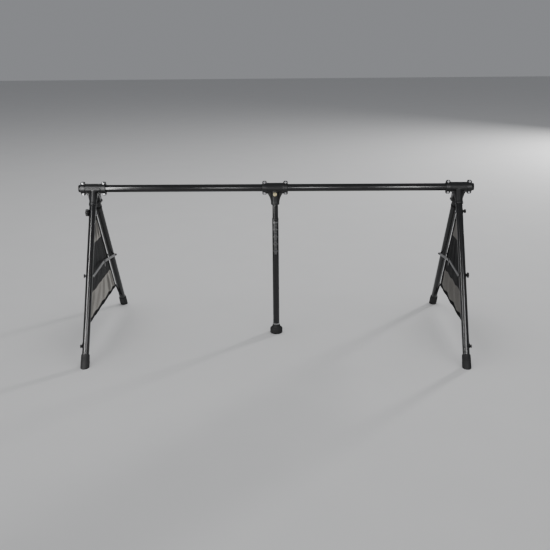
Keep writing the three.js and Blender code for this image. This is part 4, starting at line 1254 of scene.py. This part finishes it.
def camera():
    data = bpy.data.cameras.new("camera")
    data.lens, data.sensor_width = CAMERA_LENS, 36
    data.clip_start, data.clip_end = 0.05, 60
    data.dof.use_dof = False
    obj = placed("camera", data)
    turn = (Matrix.Rotation(CAMERA_YAW, 4, "Z") @ Matrix.Rotation(math.pi / 2 - CAMERA_PITCH, 4, "X")
            @ Matrix.Rotation(CAMERA_ROLL, 4, "Z"))
    obj.matrix_world = Matrix.Translation(CAMERA_PLACE) @ turn
    bpy.context.scene.camera = obj


def softbox(name, place, target, size, power, diffuse=True, glossy=True):
    data = bpy.data.lights.new(name, "AREA")
    data.shape, data.size, data.size_y, data.energy = "RECTANGLE", size[0], size[1], power
    obj = placed(name, data)
    obj.location = place
    obj.rotation_mode = "QUATERNION"
    obj.rotation_quaternion = (Vector(target) - Vector(place)).to_track_quat("-Z", "Y")
    obj.visible_diffuse, obj.visible_glossy, obj.visible_camera = diffuse, glossy, False


def studio():
    mesh = bpy.data.meshes.new("floor")
    reach = 30
    corners = [(-reach, -reach, 0), (reach, -reach, 0), (reach, reach, 0), (-reach, reach, 0)]
    mesh.from_pydata(corners, [], [(0, 1, 2, 3)])
    f = Finish("pale_floor", roughness=0.8, specular=0.2)
    f.set("Base Color", f.blend(f.noise(0.4, detail=3), (0.66, 0.66, 0.66), (0.70, 0.70, 0.695)))
    mesh.materials.append(f.material)
    placed("floor", mesh)
    world = bpy.data.worlds.new("studio")
    world.use_nodes = True
    world.node_tree.nodes["Background"].inputs["Color"].default_value = (0.93, 0.95, 1.0, 1)
    world.node_tree.nodes["Background"].inputs["Strength"].default_value = 0.27
    bpy.context.scene.world = world
    softbox("key", (8.5, 8.0, 1.7), (-1.1, 0, 0.45), (1.4, 1.4), 1300, glossy=False)
    softbox("front_strip", (-0.3, -5.0, 2.1), (0.1, 0, 0.8), (0.5, 1.8), 60, diffuse=False)
    softbox("left_strip", (-1.9, -1.7, 1.4), (-1.1, 0, 0.7), (0.22, 2.2), 68, diffuse=False)
    softbox("right_strip", (1.7, -3.4, 1.9), (1.1, 0, 0.8), (0.5, 1.8), 60, diffuse=False)
    softbox("top", (0, 0, 9.0), (0, 0.01, 0), (12.0, 12.0), 600, glossy=False)


# ---- assembly ----

camera()
studio()
for name, side in SIDES.items():
    bar(name, side)
    end_coupler(name, side)
    coupler_bolts(f"{name}_coupler", side * HALF_SPAN)
    leg_tubes(name, side)
    rear_leg_hinge(name, side)
    spreader(name, side)
    knobs_and_pegs(name, side)
centre_coupler(FRONT, "front")
centre_coupler(REAR, "rear")
coupler_bolts("centre_coupler", 0)
neck_screw()
middle_leg()
banner(
    "left", -1, 11,
    ([(0.07, 0.20), (0.24, 0.50), (0.50, 0.64), (0.745, 0.80), (0.90, 0.93)], 27 * MM, 0.9),
    ([(0.15, 0.2), (0.32, 0.36), (0.55, 0.5), (0.78, 0.82)], 4 * MM, 0.3),
    ([(0.42, 0.45), (0.72, 0.72)], 18 * MM, 0.9),
)
banner(
    "right", 1, 29,
    ([(0.18, 0.30), (0.45, 0.55), (0.72, 0.80)], 44 * MM, 0.4),
    ([(0.25, 0.3), (0.5, 0.5), (0.75, 0.7)], 7 * MM, 0.2),
    ([(0.5, 0.5)], 12 * MM, 0.2),
)
